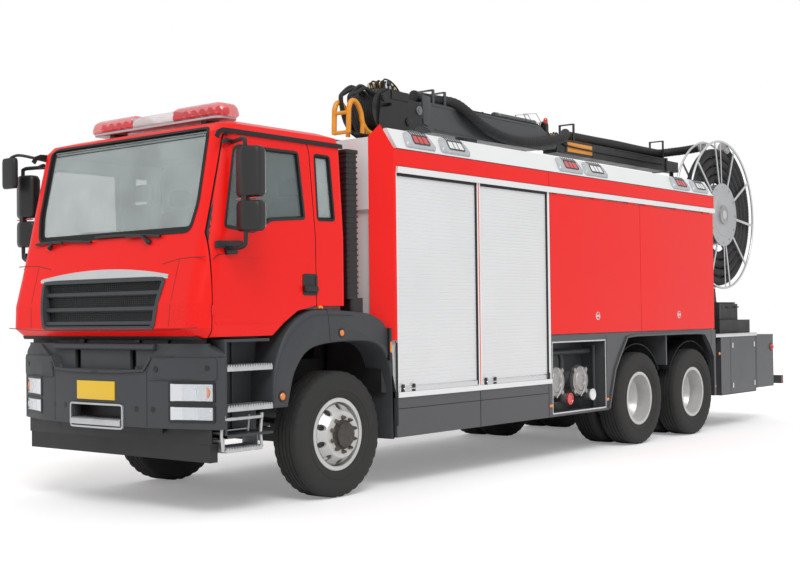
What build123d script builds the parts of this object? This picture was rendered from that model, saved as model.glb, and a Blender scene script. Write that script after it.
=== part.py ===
from build123d import *
import os

# Fire truck on a three-axle chassis: tilting cab, equipment body with roller shutters and
# lift-up hatches, knuckle-boom crane laid along the roof, hose reel on the rear platform.
# Millimetres. Front faces -Y, the driver's side is +X, the tyres stand on Z = 0.
# Lengths along the truck are given as distances behind the front axle.

os.makedirs("parts", exist_ok=True)

# Overall
overall_length = 11260
front_overhang = 1665
front_axle_y = front_overhang - overall_length / 2
rear_end = overall_length - front_overhang
wheelbase = 5225
bogie_spacing = 1400
bogie_axles = {"front": wheelbase, "back": wheelbase + bogie_spacing}
sides = {"left": 1, "right": -1}
fit = 0.3
clearance = 6

# Wheels
tyre_radius = 538
tyre_width = 312
bead_radius = 286
rim_width = 248
rim_flange_radius = 309
rim_wall = 12
disc_offset = 168
front_track_half = 1020
rear_outer_x = 1090
dual_spacing = 2 * (disc_offset + 8)
hub_radius = 105
drum_radius = 205
spindle_radius = 45
kingpin_x = 850
kingpin_radius = 22
hand_holes = 10
rear_spindle_x = 935

# Chassis frame
rail_x = 430
rail_flange = 78
rail_web = 10
rail_bottom_z = 880
rail_top_z = 1150
axle_tube_radius = 85
tilt_pivot_d = -1470
tilt_pivot_z = 1120
tilt_pin_radius = 20

# Cab
cab_half_width = 1220
cab_rear_d = 50
cab_wall = 55
cab_floor = 40
cab_bottom_z = 1390
arch_top_z = 1630
roof_z = 3105
door_gap = 8
door_front_d = -1490
door_rear_d = -345
door_top_z = 2985
door_hinge_x = cab_half_width + 3
glass_inset = 18
glass_thickness = 8

# Bumper and steps
bumper_half_width = 1240
bumper_bottom_z = 690
bumper_top_z = 1240
bumper_wall = 80
step_levels = [1160, 850, 530]
step_width = 250

# Equipment body
body_half_width = 1250
body_front_d = 500
corner_cut = 160
corner_skin = 40
body_rear_d = 7250
floor_z = 1285
deck_z = 2990
core_half_width = 850
skin = 45
strip_bottom_z = 2885
strip_top_z = 3038
coaming_top_z = 3235
coaming_inset = 125
shutter_bottom_z = 857
shutter_top_z = 2815
shutter_spans = [(700, 1930), (1990, 3200)]
skirt_bottom_z = 455
hatch_bottom_z = 1318
hatch_top_z = 2806
hatch_thickness = 40
hatch_gap = 8
hatch_spans = {"front": (3255, 5230), "rear": (5238, 7213)}
pump_bay = (3262, 4385)

# Rear platform and hose reel
platform_z = 1245
platform_thickness = 35
side_box_rear_d = 8536
rear_box_d = 9290
reel_d = 8320
reel_z = 2880
reel_radius = 1030
reel_inner_x = 650
reel_outer_x = 900
reel_tube = 15
reel_spokes = 10
hub_plate_radius = 430
coil_radius = 930
coil_core_radius = 420
reel_shaft_radius = 60

# Crane
slew_d = 2080
slew_seat_z = 3260
lift_pivot = (2420, 3700)
knuckle_pivot = (5150, 3650)
boom_half_width = 125
boom_wall = 14
jib_end_d = 8230
extension_end_d = 8620
hose_radius = 60
hoop_wall = 14
boom_hoop_z = (3815, 3980)
jib_hoop_z = (3718, 3935)


def y(distance):
    """Frame Y of a distance behind the front axle."""
    return front_axle_y + distance


def block(x0, x1, d0, d1, z0, z1, mode=Mode.ADD):
    """Rectangular block between two X, two distances and two heights."""
    with Locations(((x0 + x1) / 2, y((d0 + d1) / 2), (z0 + z1) / 2)):
        Box(abs(x1 - x0), abs(d1 - d0), abs(z1 - z0), mode=mode)


def side_shape(points, x0, x1, radius=0, mode=Mode.ADD):
    """Outline of (distance, height) points carried across from x0 to x1."""
    low, high = sorted((x0, x1))
    with BuildSketch(Plane.YZ.offset(low)) as outline:
        with BuildLine():
            Polyline(*[(y(d), z) for d, z in points], close=True)
        make_face()
        if radius:
            fillet(outline.vertices(), radius)
    extrude(outline.sketch, amount=high - low, dir=(1, 0, 0), mode=mode)


def front_shape(points, d0, d1, radius=0, mode=Mode.ADD):
    """Outline of (x, height) points carried rearward from d0 to d1."""
    with BuildSketch(Plane.XZ.offset(-y(d0))) as outline:
        with BuildLine():
            Polyline(*points, close=True)
        make_face()
        if radius:
            fillet(outline.vertices(), radius)
    extrude(outline.sketch, amount=d1 - d0, dir=(0, 1, 0), mode=mode)


def plan_shape(points, z0, z1, radius=0, mode=Mode.ADD):
    """Outline of (x, distance) points carried up from z0 to z1."""
    with BuildSketch(Plane.XY.offset(z0)) as outline:
        with BuildLine():
            Polyline(*[(x, y(d)) for x, d in points], close=True)
        make_face()
        if radius:
            fillet(outline.vertices(), radius)
    extrude(outline.sketch, amount=z1 - z0, dir=(0, 0, 1), mode=mode)


def rod(start, end, radius, mode=Mode.ADD):
    """Round bar between two (x, distance, height) points."""
    first = Vector(start[0], y(start[1]), start[2])
    last = Vector(end[0], y(end[1]), end[2])
    with Locations(Plane(origin=(first + last) / 2, z_dir=last - first).location):
        Cylinder(radius, (last - first).length, mode=mode)


def turned(profile, x, d, z, side=1, mode=Mode.ADD):
    """Profile of (x offset, radius) points turned about the X line through x, d, z."""
    centre = Vector(x, y(d), z)
    with BuildSketch(Plane(origin=centre, x_dir=(1, 0, 0), z_dir=(0, 0, 1))) as outline:
        with BuildLine():
            Polyline(*[(side * offset, radius) for offset, radius in profile], close=True)
        make_face()
    revolve(outline.sketch, axis=Axis(centre, (1, 0, 0)), mode=mode)


def hose_run(points, radius, bends=0.45):
    """Tube along straight runs joined by tangent arcs, as large as the runs allow."""
    path = [Vector(x, y(d), z) for x, d, z in points]
    radii = []
    for before, corner, after in zip(path, path[1:], path[2:]):
        turn = (corner - before).get_angle(after - corner)
        shorter = min((corner - before).length, (after - corner).length)
        half_turn = Vector(1, 0, 0).rotate(Axis.Z, turn / 2)
        radii.append(bends * shorter * half_turn.X / half_turn.Y)
    print("hose bend radii", [round(value) for value in radii])
    with BuildLine() as route:
        FilletPolyline(*path, radius=radii)
    start = route.line @ 0
    with BuildSketch(Plane(origin=start, z_dir=route.line % 0)) as section:
        Circle(radius)
    sweep(section.sketch, path=route.line)


def bent_bar(points, radius, bend):
    """Round bar through (x, distance, height) points with equal bends."""
    with BuildLine() as route:
        FilletPolyline(*[(x, y(d), z) for x, d, z in points], radius=bend)
    with BuildSketch(Plane(origin=route.line @ 0, z_dir=route.line % 0)) as section:
        Circle(radius)
    sweep(section.sketch, path=route.line)


def save(part, name):
    """Labels one finished piece and writes it under its node name."""
    part.label = name
    export_step(part, f"parts/{name}.step")


# Wheels
def tyre_form():
    """Tyre turned about the X axis."""
    half = tyre_width / 2
    bead_half = rim_width / 2 - rim_wall
    shoulder = tyre_radius - 60
    bead_face = bead_half - fit
    profile = [
        (-bead_face, bead_radius + fit),
        (-bead_face, rim_flange_radius + 2),
        (-half, bead_radius + 120),
        (-half, shoulder),
        (-half + 40, tyre_radius),
        (half - 40, tyre_radius),
        (half, shoulder),
        (half, bead_radius + 120),
        (bead_face, rim_flange_radius + 2),
        (bead_face, bead_radius + fit),
    ]
    with BuildPart(mode=Mode.PRIVATE) as form:
        turned(profile, 0, 0, 0)
    return form.part.moved(Location((0, -front_axle_y, 0)))


def rim_form(holes):
    """Steel wheel turned about the X axis, its dished disc bolting up towards +X."""
    half = rim_width / 2
    rim = [
        (-half, rim_flange_radius),
        (-half + rim_wall, rim_flange_radius),
        (-half + rim_wall, bead_radius),
        (half - rim_wall, bead_radius),
        (half - rim_wall, rim_flange_radius),
        (half, rim_flange_radius),
        (half, bead_radius - rim_wall),
        (-half, bead_radius - rim_wall),
    ]
    dish = [
        (50, bead_radius - rim_wall),
        (66, bead_radius - rim_wall),
        (110, 252),
        (disc_offset + 8, 196),
        (disc_offset + 8, hub_radius - 5),
        (disc_offset - 6, hub_radius - 5),
        (disc_offset - 6, 190),
        (100, 240),
    ]
    with BuildPart(mode=Mode.PRIVATE) as form:
        turned(rim, 0, 0, 0)
        turned(dish, 0, 0, 0)
        if holes:
            with Locations(Location((130, y(0), 0), (0, 90, 0))):
                with PolarLocations(232, holes):
                    Cylinder(27, 110, mode=Mode.SUBTRACT)
    return form.part.moved(Location((0, -front_axle_y, 0)))


tyre = tyre_form()
rim = rim_form(hand_holes)
plain_rim = rim_form(0)


def add_tyre(x, d):
    """Tyre on its axle line, standing on the ground."""
    with Locations((x, y(d), tyre_radius)):
        add(tyre)


def add_rim(form, x, d, side):
    """Wheel on its axle line, its disc bolting up on the given side."""
    with Locations(Location((x, y(d), tyre_radius), (0, 0, 0 if side > 0 else 180))):
        add(form)


for name, side in sides.items():
    front_x = side * front_track_half
    with BuildPart() as front_tyre:
        add_tyre(front_x, 0)
    save(front_tyre.part, f"front_tyre_{name}")

    hub_inner = kingpin_x + 125
    with BuildPart() as front_wheel:
        add_rim(rim, front_x, 0, side)
        rod((side * hub_inner, 0, tyre_radius), (side * 1238, 0, tyre_radius), hub_radius)
        rod((side * hub_inner, 0, tyre_radius), (side * 1090, 0, tyre_radius), drum_radius)
        rod(
            (side * (hub_inner - 1), 0, tyre_radius),
            (side * 1110, 0, tyre_radius),
            spindle_radius + fit,
            mode=Mode.SUBTRACT,
        )
    save(front_wheel.part, f"front_wheel_{name}")

    with BuildPart() as knuckle:
        rod((side * kingpin_x, 0, 425), (side * kingpin_x, 0, 651), kingpin_radius)
        for lug_z in (425, 605):
            rod((side * kingpin_x, 0, lug_z), (side * kingpin_x, 0, lug_z + 46), 50)
            block(side * kingpin_x, side * 930, -45, 45, lug_z, lug_z + 46)
        block(side * 905, side * 940, -60, 60, 425, 651)
        rod((side * 930, 0, tyre_radius), (side * 1105, 0, tyre_radius), spindle_radius)
        rod((side * kingpin_x, 0, 437), (side * kingpin_x, 190, 437), 16)
    save(knuckle.part, f"knuckle_{name}")

    for place, axle_d in bogie_axles.items():
        with BuildPart() as dual_tyres:
            add_tyre(side * rear_outer_x, axle_d)
            add_tyre(side * (rear_outer_x - dual_spacing), axle_d)
        save(dual_tyres.part, f"bogie_tyres_{place}_{name}")

        mount_x = side * (rear_outer_x - dual_spacing / 2)
        with BuildPart() as dual_wheels:
            add_rim(plain_rim, side * rear_outer_x, axle_d, -side)
            add_rim(plain_rim, side * (rear_outer_x - dual_spacing), axle_d, side)
            hub_end = side * (rear_spindle_x + 25)
            rod((side * 700, axle_d, tyre_radius), (hub_end, axle_d, tyre_radius), hub_radius)
            rod((side * 700, axle_d, tyre_radius), (side * 850, axle_d, tyre_radius), drum_radius)
            rod(
                (side * 699, axle_d, tyre_radius),
                (side * (rear_spindle_x + 5), axle_d, tyre_radius),
                spindle_radius + fit,
                mode=Mode.SUBTRACT,
            )
        save(dual_wheels.part, f"bogie_wheels_{place}_{name}")

# Axles: dropped front beam, two drive housings joined by a shaft, bogie springs
spring_x = 505
beam_end_x = kingpin_x - 10
axle_housing = [
    (-rear_spindle_x, 0),
    (-rear_spindle_x, spindle_radius),
    (-690, spindle_radius),
    (-690, axle_tube_radius),
    (-230, axle_tube_radius),
    (-90, 210),
    (90, 210),
    (230, axle_tube_radius),
    (690, axle_tube_radius),
    (690, spindle_radius),
    (rear_spindle_x, spindle_radius),
    (rear_spindle_x, 0),
]
with BuildPart() as axles:
    front_shape(
        [
            (-beam_end_x, 596),
            (-beam_end_x, 490),
            (-650, 440),
            (650, 440),
            (beam_end_x, 490),
            (beam_end_x, 596),
            (650, 560),
            (-650, 560),
        ],
        -45,
        45,
    )
    for side in sides.values():
        rod((side * kingpin_x, 0, 478), (side * kingpin_x, 0, 598), 48)
        rod(
            (side * kingpin_x, 0, 470),
            (side * kingpin_x, 0, 610),
            kingpin_radius + fit,
            mode=Mode.SUBTRACT,
        )
        block(side * 390, side * 470, -60, 60, 555, 640)
        side_shape(
            [(-760, 850), (-380, 700), (0, 640), (380, 700), (760, 850), (760, 800), (380, 650), (0, 590), (-380, 650), (-760, 800)],
            side * 390,
            side * 470,
        )
    for axle_d in bogie_axles.values():
        turned(axle_housing, 0, axle_d, tyre_radius)
    rod((0, wheelbase, tyre_radius + 70), (0, wheelbase + bogie_spacing, tyre_radius + 70), 48)
    middle = wheelbase + bogie_spacing / 2
    for side in sides.values():
        side_shape(
            [
                (wheelbase - 90, 610),
                (wheelbase + 90, 610),
                (middle, 770),
                (wheelbase + bogie_spacing - 90, 610),
                (wheelbase + bogie_spacing + 90, 610),
                (wheelbase + bogie_spacing + 90, 660),
                (middle, 850),
                (wheelbase - 90, 660),
            ],
            side * (spring_x - 45),
            side * (spring_x + 45),
        )
save(axles.part, "axles")

# Chassis frame: two channel rails, crossmembers, spring hangers and the cab's tilt brackets
frame_front_d = -1400
frame_rear_d = rear_box_d - 60
tilt_bracket_x = 300
with BuildPart() as frame:
    for side in sides.values():
        block(side * (rail_x - rail_web), side * rail_x, frame_front_d, frame_rear_d, rail_bottom_z, rail_top_z)
        for flange_z in (rail_bottom_z, rail_top_z - rail_web):
            block(
                side * (rail_x - rail_flange),
                side * rail_x,
                frame_front_d,
                frame_rear_d,
                flange_z,
                flange_z + rail_web,
            )
        block(side * (rail_x - rail_web), side * 470, -780, -700, 850, rail_bottom_z + 60)
        block(side * (rail_x - rail_web), side * 470, 700, 780, 850, rail_bottom_z + 60)
        block(side * (rail_x - rail_web), side * 550, middle - 150, middle + 150, 850, rail_bottom_z + 80)
        side_shape(
            [
                (frame_front_d + 40, rail_bottom_z + 20),
                (frame_front_d + 40, rail_top_z - 20),
                (tilt_pivot_d - 35, tilt_pivot_z + 40),
                (tilt_pivot_d - 35, tilt_pivot_z - 60),
                (frame_front_d, rail_bottom_z + 20),
            ],
            side * (rail_x - 40),
            side * (rail_x - rail_web),
        )
        rod(
            (side * (rail_x - 60), tilt_pivot_d, tilt_pivot_z),
            (side * rail_x, tilt_pivot_d, tilt_pivot_z),
            tilt_pin_radius + fit,
            mode=Mode.SUBTRACT,
        )
        block(side * 385, side * rail_x, -1450, frame_front_d + 10, 500, rail_bottom_z + 120)
    for d in (-1330, 1200, 2600, 4000, 5925, 7400, 9180):
        block(-rail_x + rail_web, rail_x - rail_web, d - 45, d + 45, rail_bottom_z + 40, rail_top_z - 40)
    block(-1145, 1145, -1461, -1384, 434, 577)
save(frame.part, "frame")

with BuildPart() as powertrain:
    block(-330, 330, -1150, 100, 720, 1320)
    block(-180, 180, 100, 900, 760, 1120)
    for side in sides.values():
        block(side * 320, side * (rail_x - rail_flange - fit), -540, -420, rail_top_z - 60, rail_top_z)
save(powertrain.part, "powertrain")


# Cab: rounded sections stacked from the sill to the roof
cab_front = [
    (1390, -1545, 1216),
    (1465, -1640, 1218),
    (1655, -1632, cab_half_width),
    (1900, -1566, cab_half_width),
    (2205, -1492, cab_half_width),
    (3000, -1322, 1172),
    (3062, -1270, 1140),
    (roof_z, -1120, 1020),
]
cab_outline = [
    (cab_rear_d + 200, arch_top_z),
    (-330, arch_top_z),
    (-560, arch_top_z - 45),
    (-720, arch_top_z - 140),
    (-850, cab_bottom_z),
    (-2000, cab_bottom_z),
    (-2000, cab_bottom_z - 100),
    (cab_rear_d + 200, cab_bottom_z - 100),
]


def cab_body(inset):
    """The cab's closed outer form, drawn in by an inset."""
    with BuildPart(mode=Mode.PRIVATE) as form:
        sections = []
        for z, front_d, half_width in cab_front:
            level = z - inset if z > 3020 else z
            corner = (150 if z < 2300 else 120) - inset
            rear = cab_rear_d - inset - (90 if z == roof_z else 0)
            depth = rear - front_d - inset
            with BuildSketch(Plane.XY.offset(level)) as section:
                with Locations((0, y((rear + front_d + inset) / 2))):
                    Rectangle(2 * (half_width - inset), depth)
                front_corners = section.vertices().group_by(Axis.Y)[0]
                fillet(front_corners, corner)
                rear_corners = section.vertices().group_by(Axis.Y)[-1]
                fillet(rear_corners, 70 - inset)
            sections.append(section.sketch)
        loft(sections, ruled=True)
    return form.part


cab_outer = cab_body(0)
cab_walls = cab_outer - cab_body(cab_wall)
glass_walls = cab_body(glass_inset) - cab_body(glass_inset + glass_thickness)

door_outline = [
    (door_front_d - 8, cab_bottom_z - 30),
    (door_front_d + 14, 2190),
    (-1292, 2960),
    (-1255, door_top_z),
    (-395, door_top_z),
    (door_rear_d - 25, 2900),
    (door_rear_d, 2190),
    (door_rear_d + 10, cab_bottom_z - 30),
]
door_window = [
    (-1352, 2240),
    (-1222, 2850),
    (-1180, 2884),
    (-505, 2890),
    (-462, 2350),
    (-853, 2318),
    (-1057, 2212),
]
rear_window = [(-300, 2345), (-300, 2893), (-120, 2890), (-95, 2352)]
windscreen = [(-970, 2210), (-1019, 2430), (-1008, 3030), (1008, 3030), (1019, 2430), (970, 2210)]
windscreen_span = (-1750, -1095)
grille_opening = [(-700, 1478), (-765, 1845), (765, 1845), (700, 1478)]
front_well = (-1420, -900)
foot_floor_z = cab_bottom_z + cab_floor
rear_floor_z = arch_top_z + cab_floor


def grown(points, amount):
    """Outline moved outward by an amount, or inward if it is negative."""
    with BuildSketch(Plane.XY, mode=Mode.PRIVATE) as outline:
        with BuildLine():
            Polyline(*points, close=True)
        make_face()
        offset(amount=amount, kind=Kind.INTERSECTION)
    ring = outline.sketch.faces()[0].outer_wire()
    return [((edge @ 0).X, (edge @ 0).Y) for edge in ring.order_edges()]


def side_zone(points, x0, x1, radius=0):
    """Separate solid of a side outline, to cut or keep other forms with."""
    with BuildPart(mode=Mode.PRIVATE) as form:
        side_shape(points, x0, x1, radius)
    return form.part


tilt_lug_x = (rail_x - 100, rail_x - 48)
door_inner_x = 1100
with BuildPart() as cab_shell:
    add(cab_walls)
    block(-1130, 1130, -1500, cab_rear_d - 30, cab_bottom_z - 10, rear_floor_z)
    block(-1090, 1090, *front_well, foot_floor_z, rear_floor_z + 10, mode=Mode.SUBTRACT)
    side_shape(cab_outline, -1300, 1300, mode=Mode.SUBTRACT)
    for side in sides.values():
        side_shape(grown(door_outline, door_gap), side * (door_inner_x - clearance), side * 1300, mode=Mode.SUBTRACT)
        side_shape(rear_window, side * 1040, side * 1300, radius=24, mode=Mode.SUBTRACT)
    front_shape(windscreen, *windscreen_span, radius=60, mode=Mode.SUBTRACT)
    front_shape(grille_opening, -1750, -1520, radius=20, mode=Mode.SUBTRACT)
    for side in sides.values():
        side_shape(
            [
                (tilt_pivot_d - 40, tilt_pivot_z - 40),
                (tilt_pivot_d - 40, cab_bottom_z + 5),
                (tilt_pivot_d + 120, cab_bottom_z + 5),
                (tilt_pivot_d + 40, tilt_pivot_z - 40),
            ],
            side * tilt_lug_x[0],
            side * tilt_lug_x[1],
        )
        rod(
            (side * tilt_lug_x[0], tilt_pivot_d, tilt_pivot_z),
            (side * (rail_x + 6), tilt_pivot_d, tilt_pivot_z),
            tilt_pin_radius,
        )
save(cab_shell.part, "cab_shell")

window_zones = side_zone(rear_window, 1040, 1300, 24) + side_zone(rear_window, -1300, -1040, 24)
with BuildPart(mode=Mode.PRIVATE) as windscreen_zone:
    front_shape(windscreen, *windscreen_span, radius=60)
cab_panes = glass_walls & (window_zones + windscreen_zone.part)
with BuildPart() as cab_glass:
    add(cab_panes)
save(cab_glass.part, "cab_glass")

grille_frame = grown(grille_opening, -fit)
with BuildPart() as grille:
    front_shape(grille_frame, -1605, -1545, radius=20)
    front_shape(grown(grille_frame, -32), -1620, -1565, mode=Mode.SUBTRACT)
    for level in range(5):
        z = 1530 + level * 58
        bar_half = 695 + (z - 1478) * 65 / 367
        block(-bar_half, bar_half, -1600, -1560, z, z + 20)
save(grille.part, "grille")

door_zone = side_zone(door_outline, door_inner_x, 1300)
door_zone -= side_zone(grown(cab_outline, clearance), 1000, 1300)
door_zone -= side_zone(door_window, 1000, 1350, 24)
door_panel = cab_walls & door_zone
hinge_d = -1502
door_pane = glass_walls & side_zone(door_window, 1000, 1350, 24)

for name, side in sides.items():
    with BuildPart() as door:
        add(door_panel)
        block(cab_half_width - 10, cab_half_width + 30, -500, -345, 1750, 1790)
        rod((door_hinge_x, hinge_d, 1560), (door_hinge_x, hinge_d, 1640), 4)
        block(cab_half_width, door_hinge_x + 2, hinge_d, hinge_d + 40, 1560, 1640)
        block(cab_half_width - 15, door_hinge_x + 2, hinge_d + 14, hinge_d + 40, 1560, 1640)
    with BuildPart() as door_glass:
        add(door_pane)
    if side > 0:
        save(door.part, f"door_{name}")
        save(door_glass.part, f"door_glass_{name}")
    else:
        save(door.part.mirror(Plane.YZ), f"door_{name}")
        save(door_glass.part.mirror(Plane.YZ), f"door_glass_{name}")

mirror_plan = [(1300, -1325), (1318, -1230), (1545, -1230), (1560, -1325), (1430, -1380)]
arm = (1430, -1340)
with BuildPart() as door_mirror:
    block(1190, 1440, -1370, -1320, 2050, 2100)
    rod((*arm, 2060), (*arm, 2900), 18)
    rod((*arm, 2870), (1150, -1225, 2905), 16)
    plan_shape(mirror_plan, 2459, 2840)
    plan_shape(mirror_plan, 2198, 2427)
    add(cab_outer, mode=Mode.SUBTRACT)
save(door_mirror.part, "mirror_left")
save(door_mirror.part.mirror(Plane.YZ), "mirror_right")

with BuildPart() as front_mirror:
    rod((-1150, -1240, 2950), (-1290, -1440, 3000), 14)
    rod((-1290, -1440, 3000), (-1425, -1470, 2960), 14)
    block(-1530, -1330, -1500, -1440, 2714, 2985)
    add(cab_outer, mode=Mode.SUBTRACT)
save(front_mirror.part, "front_mirror")


def add_seat(x, d, base_z, depth):
    """Seat on its plinth, facing forward, with a raked back."""
    cushion_z = rear_floor_z + 330
    side_shape(
        [
            (d - depth, base_z),
            (d - depth - 10, cushion_z),
            (d + 60, cushion_z - 20),
            (d + 170, cushion_z + 640),
            (d + 260, cushion_z + 620),
            (d + 190, cushion_z - 120),
            (d + 160, base_z),
        ],
        x - 240,
        x + 240,
        radius=30,
    )


with BuildPart() as cab_interior:
    for x in (-560, 560):
        add_seat(x, -1000 + 140, rear_floor_z, 30)
        block(x - 200, x + 200, -1230, -870, rear_floor_z + 200, rear_floor_z + 330)
    for x in (-720, 0, 720):
        add_seat(x, -300, rear_floor_z, 240)
    block(-150, 150, -1420, -1200, foot_floor_z, 1900)
    side_shape([(-1450, 1900), (-1450, 2080), (-1200, 2080), (-1170, 1900)], -1080, 1080, radius=20)
    rod((560, -1250, 2050), (560, -1090, 2120), 28)
    with Locations(Plane(origin=(560, y(-1085), 2125), z_dir=(0, 0.5, 0.87)).location):
        Torus(215, 16)
        Box(420, 30, 14)
save(cab_interior.part, "cab_interior")

bar_tip_x = 935
bar_span = (-1060, -790)
with BuildPart() as light_bar:
    front_shape(
        [(-811, 3175), (-bar_tip_x, 3235), (-810, 3316), (810, 3316), (bar_tip_x, 3235), (811, 3175)],
        *bar_span,
    )
    plan_shape(
        [
            (-bar_tip_x, bar_span[0]),
            (-bar_tip_x, bar_span[1]),
            (bar_tip_x, bar_span[1]),
            (bar_tip_x, bar_span[0]),
        ],
        roof_z,
        roof_z + 300,
        radius=110,
        mode=Mode.INTERSECT,
    )
    for x in (-593, 593):
        block(x - 40, x + 40, -1000, -850, roof_z, 3190)
save(light_bar.part, "light_bar")


# Bumper, lamps, front wings and steps
def bumper_plan(z0, z1, inset, mode=Mode.ADD):
    """Bumper's plan outline, bowed at the front, drawn in by an inset."""
    with BuildSketch(Plane.XY.offset(z0)) as outline:
        with BuildLine():
            ThreePointArc(
                (-825, y(-1590 + inset)),
                (0, y(-front_overhang + inset)),
                (825, y(-1590 + inset)),
            )
            corner_x = bumper_half_width - inset
            Line((825, y(-1590 + inset)), (corner_x, y(-1450 + inset / 2)))
            Line((corner_x, y(-1450 + inset / 2)), (corner_x, y(-1390)))
            Line((corner_x, y(-1390)), (-corner_x, y(-1390)))
            Line((-corner_x, y(-1390)), (-corner_x, y(-1450 + inset / 2)))
            Line((-corner_x, y(-1450 + inset / 2)), (-825, y(-1590 + inset)))
        make_face()
    extrude(outline.sketch, amount=z1 - z0, dir=(0, 0, 1), mode=mode)


lamp_span = (835, 1190)
lamp_levels = {"upper": (905, 1037), "lower": (760, 860)}
step_slot = (-300, 300, 690, 860)
with BuildPart() as bumper:
    bumper_plan(bumper_bottom_z, bumper_top_z, 0)
    bumper_plan(bumper_bottom_z - 20, bumper_top_z + 20, bumper_wall, mode=Mode.SUBTRACT)
    front_shape([(-640, 1300), (-560, 1140), (560, 1140), (640, 1300)], -1750, -1400, mode=Mode.SUBTRACT)
    for x in (-530, 530):
        block(x - 30, x + 30, -1600, -1500, 1060, 1130)
    plan_shape(
        [
            (-1140, -1475),
            (-880, -1560),
            (880, -1560),
            (1140, -1475),
            (1140, -1440),
            (880, -1525),
            (-880, -1525),
            (-1140, -1440),
        ],
        1050,
        1345,
    )
    block(step_slot[0], step_slot[1], -1750, -1500, step_slot[2] + 40, step_slot[3], mode=Mode.SUBTRACT)
    for side in sides.values():
        for low, high in lamp_levels.values():
            block(side * lamp_span[0], side * lamp_span[1], -1750, -1395, low, high, mode=Mode.SUBTRACT)
        block(side * (rail_x + fit), side * (rail_x + 40), -1600, -1290, 900, 1040)
        lug_slot = (tilt_lug_x[0] - 12, tilt_lug_x[1] + 12)
        block(side * lug_slot[0], side * lug_slot[1], -1580, -1500, 1085, 1350, mode=Mode.SUBTRACT)
save(bumper.part, "bumper")

with BuildPart() as lamps:
    for side in sides.values():
        for low, high in lamp_levels.values():
            plan_shape(
                [
                    (side * (lamp_span[0] + fit), -1584),
                    (side * (lamp_span[1] - fit), -1464),
                    (side * (lamp_span[1] - fit), -1400),
                    (side * (lamp_span[0] + fit), -1510),
                ],
                low + fit,
                high - fit,
            )
save(lamps.part, "lamps")

wing_inner = [
    (-690, 813),
    (-666, 900),
    (-600, 1100),
    (-440, 1262),
    (-152, 1318),
    (300, 1318),
    (500, 1250),
    (600, 1100),
    (636, 900),
    (640, 445),
]
wing_outer = [
    (655, 445),
    (655, 1000),
    (640, 1250),
    (560, 1450),
    (344, 1560),
    (-286, 1605),
    (-480, 1572),
    (-640, 1480),
    (-760, 1330),
    (-845, 1100),
    (-856, 813),
]
well_x = 940
well_span = (-1378, -862)
with BuildPart() as front_wings:
    side_shape(wing_inner + wing_outer, 935, 1230)
    block(well_x, well_x + 30, well_span[0], well_span[1] + 60, 620, 1375)
    block(well_x, 1226, *well_span, 620, 640)
    block(well_x, 1226, well_span[0], well_span[0] + 20, 620, 1375)
    block(rail_x + fit, well_x + 5, -1240, -1200, 700, 1000)
    mirror(about=Plane.YZ)
save(front_wings.part, "front_wings")

# Air intake standing on the driver's side wing
with BuildPart() as snorkel:
    plan_shape([(960, 190), (1110, 190), (1110, 330), (960, 330)], 1690, 2990, radius=30)
    plan_shape([(960, 230), (1110, 230), (1110, 400), (960, 400)], 1450, 1700, radius=30)
    side_shape(grown(wing_inner + wing_outer, fit), 930, 1240, mode=Mode.SUBTRACT)
save(snorkel.part, "snorkel")

tread_span = (well_span[0] + 25, well_span[1] - 4)
with BuildPart() as cab_steps:
    for level in step_levels[:2]:
        block(well_x + 30, 1228, *tread_span, level - 25, level)
    hanging = step_levels[2]
    block(well_x + 60, 1228, -1370, -990, hanging - 25, hanging)
    for d in (-1365, -1005):
        block(well_x + 80, 1190, d, d + 12, hanging - 5, 620)
    mirror(about=Plane.YZ)
save(cab_steps.part, "cab_steps")

# Equipment body
shutter_face_x = 1222
locker_bottom_z = floor_z + 45
locker_top_z = hatch_top_z - 16
post_width = 24
hatch_x = (body_half_width - hatch_thickness, body_half_width)
body_side_x = hatch_x[0] - fit
body_split_d = hatch_spans["front"][0] - 10
front_wall_d = body_front_d + 30 + fit
corner_line = body_half_width - (body_front_d + corner_cut) - corner_skin * 2**0.5 - 3
wing_cut = grown(wing_inner + wing_outer, clearance)
with BuildPart() as body_frame:
    plan_shape(
        [
            (-shutter_face_x, body_split_d),
            (-shutter_face_x, shutter_face_x - corner_line),
            (-front_wall_d - corner_line, front_wall_d),
            (front_wall_d + corner_line, front_wall_d),
            (shutter_face_x, shutter_face_x - corner_line),
            (shutter_face_x, body_split_d),
        ],
        floor_z,
        deck_z,
    )
    for side in sides.values():
        plan_shape(
            [
                (side * 480, 600),
                (side * (600 + corner_line), 600),
                (side * shutter_face_x, shutter_face_x - corner_line),
                (side * shutter_face_x, body_split_d),
                (side * 480, body_split_d),
            ],
            shutter_bottom_z,
            floor_z,
        )
        side_shape(wing_cut, side * 929, side * 1260, mode=Mode.SUBTRACT)
        block(side * (rail_x - 80), side * rail_x, 560, body_rear_d, rail_top_z, floor_z)
    block(-body_side_x, body_side_x, body_split_d, body_rear_d, floor_z, deck_z)
    for side in sides.values():
        for low, high in hatch_spans.values():
            block(
                side * core_half_width,
                side * (body_side_x + 30),
                low + post_width,
                high - post_width,
                locker_bottom_z,
                locker_top_z,
                mode=Mode.SUBTRACT,
            )
save(body_frame.part, "body_frame")

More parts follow.
